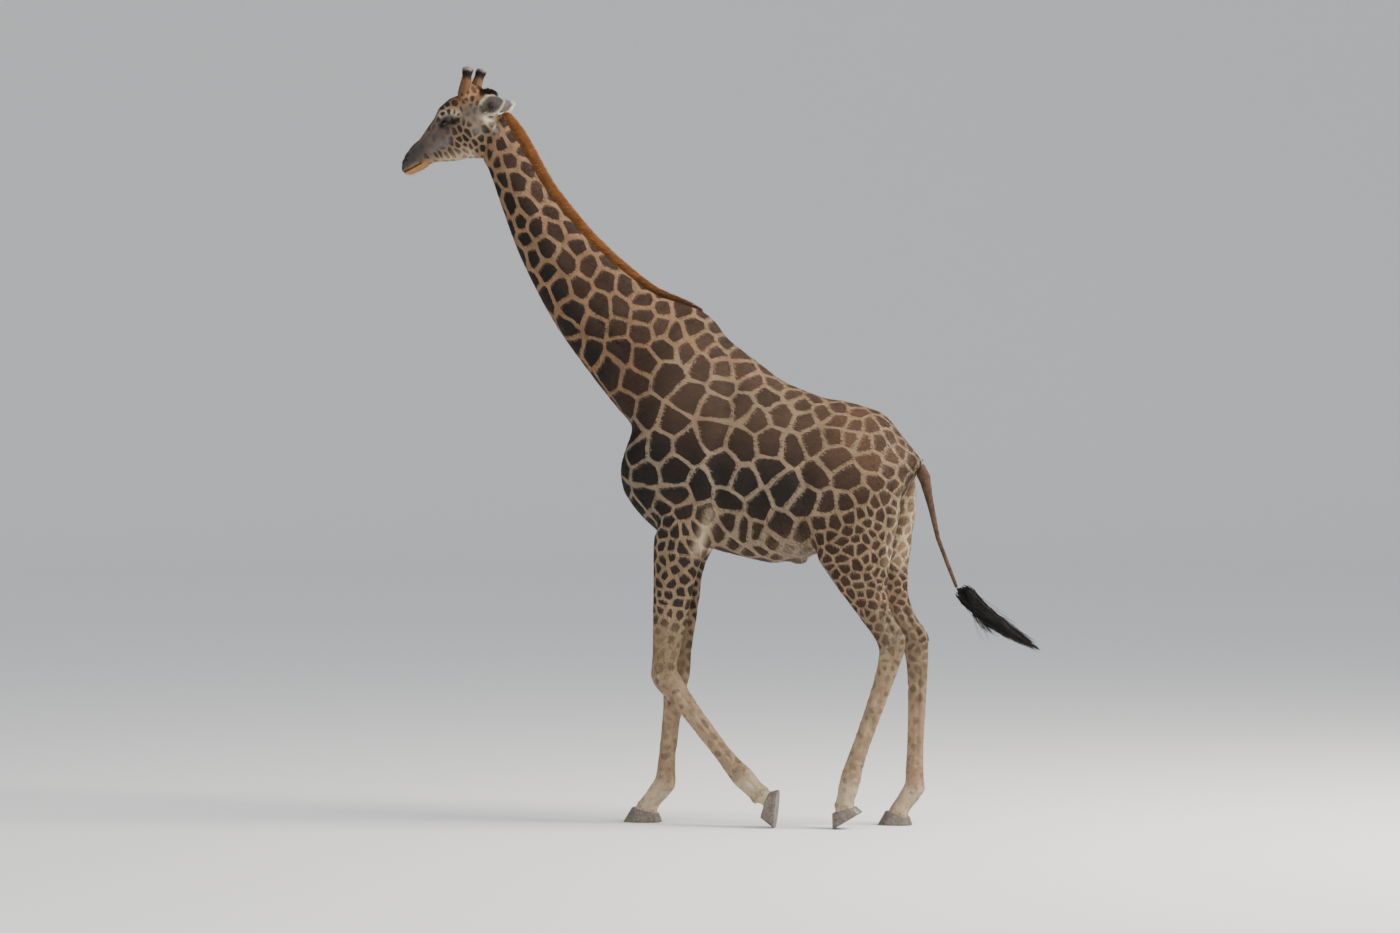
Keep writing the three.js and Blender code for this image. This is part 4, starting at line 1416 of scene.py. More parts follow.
def new_group(name, inputs, outputs):
    tree = bpy.data.node_groups.new(name, "ShaderNodeTree")
    for way, sockets in (("INPUT", inputs), ("OUTPUT", outputs)):
        for label, kind in sockets.items():
            tree.interface.new_socket(label, in_out=way, socket_type=f"NodeSocket{kind}")
    graph = Graph(tree)
    return graph, graph.node("NodeGroupInput"), graph.node("NodeGroupOutput")


def new_material(name, rough, glint=0.5):
    material = bpy.data.materials.new(name)
    material.use_nodes = True
    shader = material.node_tree.nodes["Principled BSDF"]
    shader.inputs["Roughness"].default_value = rough
    shader.inputs["Specular IOR Level"].default_value = glint
    return material, Graph(material.node_tree), shader


print("kinds of step in a graph:", ", ".join(name for name in vars(Graph) if not name.startswith("_")))


# %% From seeds to cells
def cells_group():
    """Distances to four seeds, as the distance in from the border and the tone of the nearest seed."""
    letters = "abcd"
    inputs = {"Place": "Vector"}
    inputs |= {f"Seed {k}": "Vector" for k in letters} | {f"Tone {k}": "Float" for k in letters}
    graph, given, result = new_group("coat_cells", inputs, {"Depth": "Float", "Tone": "Float"})
    first = graph.distance(given.outputs["Place"], given.outputs["Seed a"])
    shade = given.outputs["Tone a"]
    second = None
    for k in letters[1:]:
        away = graph.distance(given.outputs["Place"], given.outputs[f"Seed {k}"])
        closer = graph.math("LESS_THAN", away, first)
        loser = graph.math("MAXIMUM", away, first)
        second = loser if second is None else graph.math("MINIMUM", second, loser)
        first = graph.math("MINIMUM", away, first)
        change = graph.math("SUBTRACT", given.outputs[f"Tone {k}"], shade)
        shade = graph.math("MULTIPLY_ADD", closer, change, shade)
    depth = graph.math("MULTIPLY", graph.math("SUBTRACT", second, first), 0.5)
    graph.feed(depth, result.inputs["Depth"])
    graph.feed(shade, result.inputs["Tone"])
    return graph.tree


CELLS = cells_group()
print(CELLS.name, "has", len(CELLS.nodes), "nodes")


# %% From cells to colours
def coat_group():
    """The colour of the coat from its two colours, the depth in the patch and the patch's tone."""
    inputs = {"Place": "Vector", "Depth": "Float", "Tone": "Float", "Half line": "Float",
              "Patch": "Color", "Net": "Color"}
    graph, given, result = new_group("coat_colour", inputs, {"Color": "Color", "Height": "Float"})
    place = given.outputs["Place"]
    ragged = graph.math("MULTIPLY_ADD", graph.noise(place, 130.0, 3.0), 0.006, -0.003)
    depth = graph.math("ADD", given.outputs["Depth"], ragged)
    depth = graph.math("SUBTRACT", depth, given.outputs["Half line"])
    mask = graph.spread(depth, -0.0022, 0.0022)
    lightness = graph.math("MULTIPLY_ADD", given.outputs["Tone"], 0.13, 1.0)
    cloudy = graph.math("MULTIPLY_ADD", graph.noise(place, 22.0, 4.0, 0.6), 0.6, 0.70)
    scaled = graph.node("ShaderNodeVectorMath", operation="SCALE")
    graph.feed(given.outputs["Patch"], scaled.inputs[0])
    graph.feed(graph.math("MULTIPLY", lightness, cloudy), scaled.inputs["Scale"])
    base = graph.mix(mask, given.outputs["Net"], scaled.outputs[0])
    grain = graph.noise(place, 420.0, 3.0, 0.7)
    streaks = graph.node("ShaderNodeVectorMath", operation="SCALE")
    graph.feed(base, streaks.inputs[0])
    graph.feed(graph.math("MULTIPLY_ADD", grain, 0.36, 0.82), streaks.inputs["Scale"])
    graph.feed(streaks.outputs[0], result.inputs["Color"])
    graph.feed(grain, result.inputs["Height"])
    return graph.tree


COAT_COLOUR = coat_group()
print(COAT_COLOUR.name, "has", len(COAT_COLOUR.nodes), "nodes")


# %% The material of the skin
def use_group(graph, tree, feeds):
    made = graph.node("ShaderNodeGroup")
    made.node_tree = tree
    for name, value in feeds.items():
        graph.feed(value, made.inputs[name])
    return made


def skin_material():
    material, graph, shader = new_material("giraffe_skin", 0.72, 0.25)
    place = graph.read("pattern_place", "Vector")
    object_place = graph.node("ShaderNodeTexCoord").outputs["Object"]
    feeds = {"Place": place}
    for k in "abcd":
        feeds[f"Seed {k}"] = graph.read(f"seed_{k}", "Vector")
        feeds[f"Tone {k}"] = graph.read(f"tone_{k}", "Fac")
    cells = use_group(graph, CELLS, feeds)
    coat = use_group(graph, COAT_COLOUR, {
        "Place": object_place,
        "Depth": cells.outputs["Depth"],
        "Tone": cells.outputs["Tone"],
        "Half line": graph.read("half_line", "Fac"),
        "Patch": graph.read("patch_colour"),
        "Net": graph.read("net_colour"),
    })
    graph.feed(coat.outputs["Color"], shader.inputs["Base Color"])
    bump = graph.node("ShaderNodeBump")
    bump.inputs["Strength"].default_value = 0.35
    bump.inputs["Distance"].default_value = 0.002
    graph.feed(coat.outputs["Height"], bump.inputs["Height"])
    graph.feed(bump.outputs["Normal"], shader.inputs["Normal"])
    return material


SKIN = skin_material()
print(SKIN.name, "has", len(SKIN.node_tree.nodes), "nodes")

# %% [markdown]
# ## Short fur
# Each tuft is a flat closed blade with four faces. Its root is sunk in the hide, and its tip lies a few
# millimetres above it, along the lie of the hair. Tufts are smallest on the face and the feet. A tuft
# has the one colour of its root, worked out from the same seeds and colours as the shader's.

# %% A point on the hide for each root
skin_mesh.calc_loop_triangles()
tri_verts = numbers(skin_mesh.loop_triangles, "vertices", 3, np.int32)
tri_face = numbers(skin_mesh.loop_triangles, "polygon_index", 1, np.int32)
tri_part = hide_part[tri_verts[:, 0]]
tri_size = numbers(skin_mesh.loop_triangles, "area", 1)


def roots_on(picked, count):
    """Random places on the picked triangles: the triangle's index and the three corner shares."""
    chance = tri_size * picked
    chosen = RANDOM.choice(len(tri_size), count, p=chance / chance.sum())
    shares = RANDOM.dirichlet((1, 1, 1), count)
    return chosen, shares


def between(values, chosen, shares):
    corners = values[tri_verts[chosen]]
    return (corners * shares.reshape(shares.shape + (1,) * (corners.ndim - 2))).sum(axis=1)


print("hide:", len(tri_size), "triangles,", tri_size.sum().round(2), "square metres")


# %% The colour of a root
def coat_colour(chosen, shares):
    """The colour of the pattern at each root."""
    place = between(hide_space, chosen, shares)
    around = near_seeds[tri_face[chosen]]
    away = np.linalg.norm(seeds[around] - place[:, None], axis=2)
    nearest = np.take_along_axis(around, away.argmin(axis=1)[:, None], 1)[:, 0]
    away.sort(axis=1)
    depth = (away[:, 1] - away[:, 0]) / 2 - between(hide_line, chosen, shares)
    depth += RANDOM.normal(0, 0.0016, len(depth))
    mask = ramp(depth, -0.0015, 0.0015)[:, None]
    patch = between(patch_colour, chosen, shares) * (1 + 0.13 * seed_tone[nearest])[:, None]
    return patch * mask + between(net_colour, chosen, shares) * (1 - mask)


print("mean tone of the patches:", seed_tone.mean().round(3))

# %% Charts for the fur's own map
# The map of a coat piece lays each tuft at its root's place on an unwrapped hide: the angle round the
# line through the middle of a part, and the way along that line.
SPINES = {
    "head": [head_point(0.0, 0, 0.0), head_point(0.75, 0, -0.02)],
    "ear": [head_point(0.6, 0, 0.0), head_point(0.9, 0, 0.0)],
    "neck": [Vector((-1.42, 0.0, 4.05)), Vector((-0.92, 0.0, 3.10)), Vector((-0.35, 0.0, 2.45))],
    "trunk": [Vector((-0.60, 0.0, 2.30)), Vector((0.20, 0.0, 2.20)), Vector((1.25, 0.0, 2.05))],
    "tail": [Vector((1.24, 0.0, 2.15)), Vector((1.45, 0.0, 1.45))],
}
CHART_PATCH = 0.003


def chart(points, spine):
    """Places from 0 to 1: the share of the turn round the spine, and of its length."""
    spine = np.array([tuple(p) for p in spine])
    whole = unit(spine[-1] - spine[0])
    along = (points - spine[0]) @ whole / ((spine[-1] - spine[0]) @ whole)
    marks = (spine - spine[0]) @ whole / ((spine[-1] - spine[0]) @ whole)
    middle = np.column_stack([np.interp(along, marks, spine[:, i]) for i in range(3)])
    side = unit(np.cross(whole, (0.31, 0.95, 0.02)))
    off = points - middle
    turn = np.arctan2(off @ side, off @ np.cross(whole, side)) / (2 * math.pi) + 0.5
    return np.column_stack((turn, np.clip(along, -0.15, 1.15) / 1.3 + 0.115))


def side_of(points, part):
    """The side of the animal, and on the turned head the side of the head."""
    out = to_head(points)[:, 1] if part in ("head", "ear") else points[:, 1]
    return np.where(out < 0, "left", "right")


def spine_of(part, leg):
    return SPINES[part] if part in SPINES else [Vector(p) for p in LEG_JOINTS[leg]]


print("charts round spines:", ", ".join(SPINES), "and the joints of each leg")


# %% Meshes of hair
def hair_mesh(name, points, loops, colours, charts):
    """A mesh of triangles, with a colour and a place on the fur's own map for each vertex."""
    mesh = bpy.data.meshes.new(name)
    mesh.vertices.add(points.size // 3)
    mesh.loops.add(len(loops))
    mesh.polygons.add(len(loops) // 3)
    mesh.vertices.foreach_set("co", points.astype(np.float32).ravel())
    mesh.loops.foreach_set("vertex_index", loops)
    mesh.polygons.foreach_set("loop_start", np.arange(0, len(loops), 3, dtype=np.int32))
    mesh.update(calc_edges=True)
    attribute(mesh, "hair_colour", "FLOAT_COLOR", "POINT", opaque(colours.reshape(-1, 3)))
    corners = np.clip(charts.reshape(-1, 2)[loops], 0.0, 1.0)
    layer = mesh.uv_layers.new(name="OFBake")
    layer.uv.foreach_set("vector", corners.astype(np.float32).ravel())
    return mesh


def hair_material(name, rough):
    material, graph, shader = new_material(name, rough, 0.25)
    graph.feed(graph.read("hair_colour"), shader.inputs["Base Color"])
    return material


FUR = hair_material("short_fur", 0.70)
LONG_HAIR = hair_material("long_hair", 0.55)
print("hair materials:", FUR.name, "and", LONG_HAIR.name)

# %% Making tufts
ROOT_DEPTH = 0.0020
BLADE = np.array((0, 2, 1, 0, 1, 3, 1, 2, 3, 2, 0, 3))  # the corners of its four faces
BLADE_SHADES = np.array((0.80, 0.80, 0.95, 1.12))  # dark at the root and light at the tip
BLADE_SPOTS = np.array(((-0.5, -0.5), (0.5, -0.5), (0.1, 0.0), (0.0, 0.5)))  # on its patch of the map


def blades(name, roots, outwards, lies, lengths, widths, lifts, colours, charts, material, slot):
    """One piece made of closed four-faced blades."""
    count = len(roots)
    side = np.cross(outwards, lies)
    wide = (widths / 2)[:, None]
    sunk = roots - outwards * ROOT_DEPTH
    low_left = sunk - side * wide
    low_right = sunk + side * wide
    ridge = sunk + outwards * np.minimum(widths * 0.45, 0.0016)[:, None]
    ridge += lies * (lengths * 0.25)[:, None]
    tips = roots + lies * lengths[:, None] + outwards * lifts[:, None]
    points = np.stack((low_left, low_right, ridge, tips), axis=1).reshape(-1, 3)
    loops = (np.arange(count)[:, None] * 4 + BLADE).ravel().astype(np.int32)
    shaded = colours[:, None, :] * BLADE_SHADES[None, :, None]
    maps = charts[:, None, :] + (BLADE_SPOTS * CHART_PATCH)[None]
    return show(name, hair_mesh(name, points, loops, shaded, maps), material, slot)


print("faces of a tuft:", len(BLADE) // 3)

# %% Sizes of the tufts, and bare places
# Part: tufts per square metre, length, width and lift of the tip.
FUR_SIZES = {
    "head": (104000, 0.0085, 0.0021, 0.0013),
    "ear": (90000, 0.0110, 0.0022, 0.0016),
    "neck": (21000, 0.0200, 0.0044, 0.0030),
    "trunk": (18500, 0.0230, 0.0048, 0.0032),
    "forearm": (24000, 0.0180, 0.0040, 0.0026),
    "thigh": (24000, 0.0180, 0.0040, 0.0026),
    "shin": (27000, 0.0140, 0.0032, 0.0018),
    "foot": (34000, 0.0130, 0.0028, 0.0018),
    "tail": (60000, 0.0140, 0.0028, 0.0018),
}
FUR_PIECES = {
    "fur_head_left": ("head ear", "left", "face_coat"),
    "fur_head_right": ("head ear", "right", "face_coat"),
    "fur_neck": ("neck", "left right", "patched_coat"),
    "fur_trunk_left": ("trunk", "left", "patched_coat"),
    "fur_trunk_right": ("trunk", "right", "patched_coat"),
    "fur_forearms": ("forearm", "left right", "patched_coat"),
    "fur_thighs": ("thigh", "left right", "patched_coat"),
    "fur_shins": ("shin foot tail", "left right", "pale_coat"),
}
eye_distance = np.minimum(*[np.linalg.norm(hide_points - np.array(EYES[side]), axis=1) for side in SIDES])
nose_distance = np.linalg.norm(to_head(hide_points) - (0.0, 0.0, -0.01), axis=1)
BARE = np.maximum.reduce((nose_distance < 0.050, eye_distance < 0.029, ear_hollow > 0.5)).astype(float)
print("bare vertices round nose, eyes and ears:", int(BARE.sum()))


# %% Tufts on every part
def hoof_part(points):
    """True inside the hooves and just above them, where no tuft may grow into the floor."""
    inside = points[:, 2] < 0.03
    for leg in LEG_NAMES:
        fetlock, coronet = ends_of_pastern(leg)
        ahead = (points - coronet) @ unit(coronet - fetlock) > -0.006
        inside |= ahead & near(points, coronet, 0.22)
    return inside


def tufts(name, parts, sides, slot):
    middle = hide_points[tri_verts[:, 0]]
    rows = []
    charts = [(part, side) for part in parts.split() for side in sides.split()]
    for part in parts.split():
        per_metre, length, width, lift = FUR_SIZES[part]
        picked = (tri_part == PART_NAMES.index(part)) & np.isin(side_of(middle, part), sides.split())
        picked = picked & (BARE[tri_verts].max(axis=1) < 0.5) & ~hoof_part(middle)
        count = int(per_metre * (tri_size * picked).sum())
        chosen, shares = roots_on(picked, count)
        roots = between(hide_points, chosen, shares)
        outwards = unit(between(hide_normals, chosen, shares))
        lies = between(hide_lie, chosen, shares) + RANDOM.normal(0, 0.16, (count, 3))
        lies = unit(lies - (lies * outwards).sum(axis=1)[:, None] * outwards)
        size = RANDOM.uniform(0.75, 1.2, count)
        if part == "head":
            size *= 0.55 + 0.55 * ramp(to_head(roots)[:, 0], 0.10, 0.60)
        colours = coat_colour(chosen, shares) * RANDOM.uniform(0.78, 1.16, count)[:, None]
        spots = np.empty((count, 2))
        for i, (where, side) in enumerate(charts):
            mine = (side_of(roots, part) == side) & (where == part)
            for leg in ("fore_", "hind_"):
                ahead = (roots[:, 0] < 0.45) == (leg == "fore_")
                some = mine & ahead if part not in SPINES else mine
                if some.any():
                    spots[some] = chart(roots[some], spine_of(part, leg + side))
            spots[mine, 0] = (spots[mine, 0] + i) / len(charts)
        rows.append((roots, outwards, lies, size * length, size * width, lift * size, colours, spots))
    return blades(name, *(np.concatenate(column) for column in zip(*rows)), FUR, slot)


for name, (parts, sides, slot) in FUR_PIECES.items():
    piece = tufts(name, parts, sides, slot)
    print(name, triangles(piece), "triangles")


# %% [markdown]
# ## Eyes
# The eyeballs fill the openings between the lids. They are dark and wet, and a giraffe's pupil is wider
# than it is tall.


# %% Eyes
def eye_material():
    """Dark brown and wet, with a darker level pupil. A value on each vertex of the ball gives how far it
    lies from the pupil's middle.
    """
    material, graph, shader = new_material("eye_wet", 0.04)
    away = graph.read("pupil_distance", "Fac")
    iris = graph.mix(graph.spread(away, 0.55, 1.0), (*tone(58, 34, 20), 1), (*tone(18, 12, 9), 1))
    colour = graph.mix(graph.spread(away, 0.40, 0.52), (0.002, 0.002, 0.002, 1), iris)
    graph.feed(colour, shader.inputs["Base Color"])
    shader.inputs["Coat Weight"].default_value = 1.0
    shader.inputs["Coat Roughness"].default_value = 0.02
    return material


EYE_WET = eye_material()


def eyeball(side):
    bm = bmesh.new()
    bmesh.ops.create_uvsphere(bm, u_segments=48, v_segments=32, radius=EYE_RADIUS - 0.0003)
    pupil = bm.verts.layers.float.new("pupil_distance")
    for vert in bm.verts:
        vert[pupil] = math.hypot(vert.co.x / 0.0150, vert.co.y / 0.0090) if vert.co.z > 0 else 2.0
    axes = Matrix(eye_frame(side)).transposed().to_4x4()
    bmesh.ops.transform(bm, matrix=Matrix.Translation(EYES[side]) @ axes, verts=bm.verts)
    return bm


for side in SIDES:
    smooth_shaded(show(f"eyeball_{side}", eyeball(side), EYE_WET, "eye", [f"eye_{side}"]))
print("eyes at", [tuple(round(v, 3) for v in EYES[side]) for side in SIDES])

# %% [markdown]
# ## The skin
# The hide is finished now, and becomes one piece that takes the place of all the solids under it.

# %% The skin as a piece
SKINNED = FLESH + ["tail", "ear_left", "ear_right"]
skin = smooth_shaded(show("skin", skin_mesh, SKIN, "patched_coat", SKINNED))
print("skin:", triangles(skin), "triangles")

# %% [markdown]
# ## Long hair
# Longer hair is made of strands: thin closed tubes with three sides that taper to the tip. The mane
# stands up from the crest of the neck, the tail ends in a heavy black tuft, and lashes, whiskers and
# the fringes of ears and hooves are strands as well.


# %% Making strands
def strand_faces(rings):
    """The triangles of one strand: three sides between the rings, and a cap at each end."""
    faces = []
    for ring in range(rings - 1):
        for k in range(3):
            a, b = ring * 3 + k, ring * 3 + (k + 1) % 3
            faces += [(a, b, b + 3), (a, b + 3, a + 3)]
    last = (rings - 1) * 3
    return faces + [(0, 2, 1), (last, last + 1, last + 2)]


def strands(name, paths, widths, colours, charts, material, slot):
    """One piece made of tapering three-sided tubes. Paths are (strand, ring, 3)."""
    count, rings = paths.shape[:2]
    ahead = unit(np.gradient(paths, axis=1))
    side = unit(np.cross(ahead, unit(RANDOM.normal(0, 1, (count, 1, 3)))))
    over = np.cross(ahead, side)
    taper = 1 - 0.88 * (np.arange(rings) / (rings - 1)) ** 1.6
    thick = widths[:, None] * taper[None] / 2
    points = np.empty((count, rings, 3, 3))
    for k in range(3):
        turn = 2 * math.pi * k / 3
        points[:, :, k] = paths + thick[..., None] * (side * math.cos(turn) + over * math.sin(turn))
    corners = np.array(strand_faces(rings)).ravel()
    loops = (np.arange(count)[:, None] * rings * 3 + corners).ravel().astype(np.int32)
    shade = np.interp(np.arange(rings) / (rings - 1), (0, 0.3, 1), (0.70, 0.95, 1.15))
    shaded = colours[:, None, None, :] * shade[None, :, None, None] * np.ones((1, 1, 3, 1))
    across = np.array(((-0.5, 0.0), (0.1, 0.15), (0.5, 0.05)))
    spots = np.zeros((rings, 3, 2)) + across
    spots[..., 1] += (np.arange(rings) / rings * 0.8 - 0.4)[:, None]
    maps = charts[:, None, None, :] + spots[None] * CHART_PATCH
    return show(name, hair_mesh(name, points, loops, shaded, maps), material, slot)


print("triangles of a strand with 5 rings:", len(strand_faces(5)))


# %% Paths, roots and colours of strands
def bent_paths(roots, ways, lengths, fall, rings=5):
    """Paths that start along ways and bend by fall towards their tips."""
    share = np.linspace(0, 1, rings)[None, :, None]
    fall = np.broadcast_to(fall, roots.shape)
    run = ways[:, None] * share + fall[:, None] * share**2
    return roots[:, None] + run * lengths[:, None, None]


def surface_samples(mesh, count, keep=None):
    """Random places on a mesh, with the outward normal of their faces."""
    mesh.calc_loop_triangles()
    corners = places(mesh)[numbers(mesh.loop_triangles, "vertices", 3, np.int32)]
    out = unit(np.cross(corners[:, 1] - corners[:, 0], corners[:, 2] - corners[:, 0]))
    chance = numbers(mesh.loop_triangles, "area", 1).astype(float)
    if keep is not None:
        chance = chance * keep(corners.mean(axis=1), out)
    chosen = RANDOM.choice(len(chance), count, p=chance / chance.sum())
    shares = RANDOM.dirichlet((1, 1, 1), count)
    return (corners[chosen] * shares[:, :, None]).sum(axis=1), out[chosen]


def varied(colour, count, spread):
    return np.asarray(colour) * np.exp(RANDOM.normal(0, spread, (count, 1)))


def box_chart(points, a, b):
    """A flat chart: two axes of the piece's own box."""
    flat = points[:, [a, b]]
    low, high = flat.min(axis=0), flat.max(axis=0)
    return 0.02 + 0.96 * (flat - low) / (high - low)


straight_up = np.array([(0.0, 0.0, 1.0)])
print("a bent path:", bent_paths(0 * straight_up, straight_up, np.ones(1), (0.5, 0, 0), 3)[0].tolist())


# %% Beds for long hair
# Long hair grows from a shrunk copy of its solid, so no gap shows between the strands.
def finer_solid(nodes, voxel, rounds):
    """Copies of nodes with fine faces, their facets smoothed away."""
    bm, _ = all_solids(nodes, 0.0)
    mesh = remeshed(bm, voxel)
    put(mesh, eased(places(mesh), edges_of(mesh), rounds))
    return mesh


def grown_in(mesh, amount):
    put(mesh, places(mesh) - normals(mesh) * amount)


def tinted(mesh, colours):
    attribute(mesh, "hair_colour", "FLOAT_COLOR", "POINT", opaque(colours))


low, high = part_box("tail_tuft")
print("tail tuft:", [round(size, 3) for size in high - low], "m")

# %% [markdown]
# ### The mane
# A giraffe's mane is short and stiff, and stands up from the crest of the neck. Each strand starts on
# the bed and ends near the outside of the mane's solid. It is rusty at the top and darker below.

# %% Mane
MANE_ORANGE = tone(134, 86, 45)
MANE_DARK = tone(58, 39, 26)
MANE_SHRINK = 0.008
MANE_UP = unit(np.array((0.80, 0.0, 0.60)))
MANE_BACK = unit(np.array((0.60, 0.0, -0.80)))
MANE_SHORTEST, MANE_LONGEST = 0.012, 0.085
MANE_FADE = 0.42  # metres over which it ends on the withers


def mane_colour(points):
    dark = ramp(-points[:, 2], -3.45, -3.02)[:, None]
    return MANE_ORANGE * (1 - dark) + MANE_DARK * dark


mane_nodes = ["mane_upper", "mane_lower"]
mane_solid, _ = all_solids(mane_nodes, SWELL)
mane_bed_mesh = remeshed(mane_solid, 0.008)
put(mane_bed_mesh, eased(places(mane_bed_mesh), edges_of(mane_bed_mesh), 6))
mane_tree = tree_of(mane_bed_mesh)
grown_in(mane_bed_mesh, MANE_SHRINK)
MANE_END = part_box("mane_lower")[1].x


def mane_fade(points):
    """1 along the neck, and falling to 0 where the mane ends on the withers."""
    return 1 - ramp(points[:, 0], MANE_END - MANE_FADE, MANE_END)


ending = 1 - mane_fade(places(mane_bed_mesh))
put(mane_bed_mesh, places(mane_bed_mesh) - MANE_UP * (MANE_SHRINK + 0.008 + 0.020 * ending)[:, None])
tinted(mane_bed_mesh, mane_colour(places(mane_bed_mesh)) * 0.6)
mane_bed = smooth_shaded(show("mane_bed", mane_bed_mesh, LONG_HAIR, "mane_hair", mane_nodes))
print("bed of the mane:", triangles(mane_bed), "triangles")

# %% Strands of the mane
roots, out = surface_samples(mane_bed_mesh, 11000, lambda middle, out: (out @ MANE_UP > -0.4))
count = len(roots)
lean = RANDOM.uniform(0.25, 1.10, (count, 1))
ways = unit(MANE_UP + MANE_BACK * lean + np.array((0, 1, 0)) * RANDOM.normal(0, 0.10, (count, 1)))
reach = []
for root, way in zip(roots, ways):
    hit = mane_tree.ray_cast(Vector(root + way * 0.003), Vector(way))
    reach.append(hit[3] if hit[0] is not None else MANE_SHORTEST)
lengths = np.clip(np.array(reach), MANE_SHORTEST, MANE_LONGEST) * RANDOM.uniform(0.70, 1.05, count) + 0.004
lengths *= 0.35 + 0.65 * mane_fade(roots)
paths = bent_paths(roots - ways * 0.004, ways, lengths, MANE_BACK * 0.12, 3)
streaks = 0.35 * np.array([noise.noise(Vector(root) * 16.0) for root in roots])[:, None]
colours = mane_colour(roots) * np.exp(streaks + RANDOM.normal(0, 0.22, (count, 1)))
widths = np.full(count, 0.0032)
spots = box_chart(roots, 0, 2)
mane = strands("mane_hair", paths, widths, colours, spots, LONG_HAIR, "mane_hair")
print("mane:", count, "strands,", triangles(mane), "triangles")

# %% [markdown]
# ### The tail tuft
# The tuft is black and heavy. A core that thins out towards the end carries thirty locks. The strands
# of one lock start apart, come together towards their tips, and wave a little.

# %% Core of the tail tuft
TUFT_BLACK = tone(26, 23, 22)
tuft_mesh = finer_solid(["tail_tuft"], 0.007, 4)
tuft_points = places(tuft_mesh)
tuft_middle = tuft_points.mean(axis=0)
tuft_axis = np.linalg.svd(tuft_points - tuft_middle, full_matrices=False)[2][0]
tuft_axis *= np.sign(tuft_axis[0])
tuft_along = (tuft_points - tuft_middle) @ tuft_axis
BANDS = 10
marks = np.linspace(tuft_along.min(), tuft_along.max(), BANDS + 1)
band = np.clip(np.digitize(tuft_along, marks) - 1, 0, BANDS - 1)
in_band = [tuft_points[band == i] for i in range(BANDS)]
spine = np.array([points.mean(axis=0) for points in in_band])
radius = np.array([np.linalg.norm(p - middle, axis=1).mean() for p, middle in zip(in_band, spine)])


def tuft_taper(share):
    """The tuft is full at its top and thins to wisps."""
    return 1 - 0.62 * ramp(share, 0.30, 1.0)


share = (tuft_along - marks[0]) / (marks[-1] - marks[0])
line = np.column_stack([np.interp(share * (BANDS - 1), np.arange(BANDS), spine[:, i]) for i in range(3)])
thinned = 0.45 * tuft_taper(share) * (1 - ramp(share, 0.55, 0.80))
put(tuft_mesh, line + (tuft_points - line) * thinned[:, None])
tinted(tuft_mesh, np.tile(TUFT_BLACK * 0.6, (len(tuft_mesh.vertices), 1)))
tuft_core = smooth_shaded(show("tail_tuft_core", tuft_mesh, LONG_HAIR, "black_hair", ["tail_tuft"]))
print("core of the tuft:", triangles(tuft_core), "triangles, radius", radius.round(3))


# %% Strands of the tail tuft
def along_spine(share):
    """The spine and the radius of the tuft at shares of its length, a little past its end too."""
    at = np.clip(share, 0, 1.0) * (BANDS - 1)
    middle = np.stack([np.interp(at, np.arange(BANDS), spine[:, i]) for i in range(3)], axis=-1)
    middle += tuft_axis * np.maximum(share - 1, 0)[..., None] * 0.5
    return middle, np.interp(at, np.arange(BANDS), radius)


TUFT_LOCKS = 30
count, rings = 2000, 7
lock = RANDOM.integers(0, TUFT_LOCKS, count)
lock_start = RANDOM.uniform(-0.02, 0.62, TUFT_LOCKS)
lock_span = RANDOM.uniform(0.34, 0.55, TUFT_LOCKS)
lock_way = RANDOM.normal(0, 1, (TUFT_LOCKS, 3))
lock_way = unit(lock_way - (lock_way @ tuft_axis)[:, None] * tuft_axis)
lock_fan = RANDOM.uniform(0.3, 1.9, TUFT_LOCKS)
step = np.linspace(0, 1, rings)[None]
share = lock_start[lock][:, None] + RANDOM.normal(0, 0.03, (count, 1))
share = share + lock_span[lock][:, None] * RANDOM.uniform(0.7, 1.05, (count, 1)) * step
share = np.minimum(share, 0.97 + 0.06 * RANDOM.uniform(0, 1, (count, 1)))
middle, wide = along_spine(share)
own = RANDOM.normal(0, 1, (count, 3))
own = unit(own - (own @ tuft_axis)[:, None] * tuft_axis) * RANDOM.uniform(0.3, 1.0, (count, 1))
stray = np.where(RANDOM.uniform(0, 1, (count, 1, 1)) < 0.06, 1.8, 1.0)
together = (step**1.3)[..., None]
offset = own[:, None] * (1 - 0.82 * together)
offset = offset + (lock_way * lock_fan[:, None])[lock][:, None] * together * stray
wave = RANDOM.normal(0, 0.0016, (count, rings, 3)).cumsum(axis=1)
paths = middle + offset * (np.maximum(wide, 0.014) * tuft_taper(share))[..., None] + wave
low, high = (np.array(corner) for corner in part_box("tail_tuft"))
paths = np.clip(paths, low - (0.1, 0.03, 0.02), np.minimum(high + (0.0, 0.03, 0.06), CAD_BOX[1]))
widths = RANDOM.uniform(0.0028, 0.0048, count)
colours = varied(TUFT_BLACK, count, 0.3)
spots = box_chart(paths[:, 0], 0, 2)
tuft = strands("tail_tuft_hair", paths, widths, colours, spots, LONG_HAIR, "black_hair")
print("tail tuft:", triangles(tuft), "triangles")

# %% [markdown]
# ### Lashes, fringes and whiskers
# Long lashes hang from the upper lid, out and down. The other hairs grow from the hide where a share is
# above 0: on the rims and in the hollows of the ears, on the poll, on the lower lip and over the hooves.

# %% Lashes
LASHES = 70  # on each eye


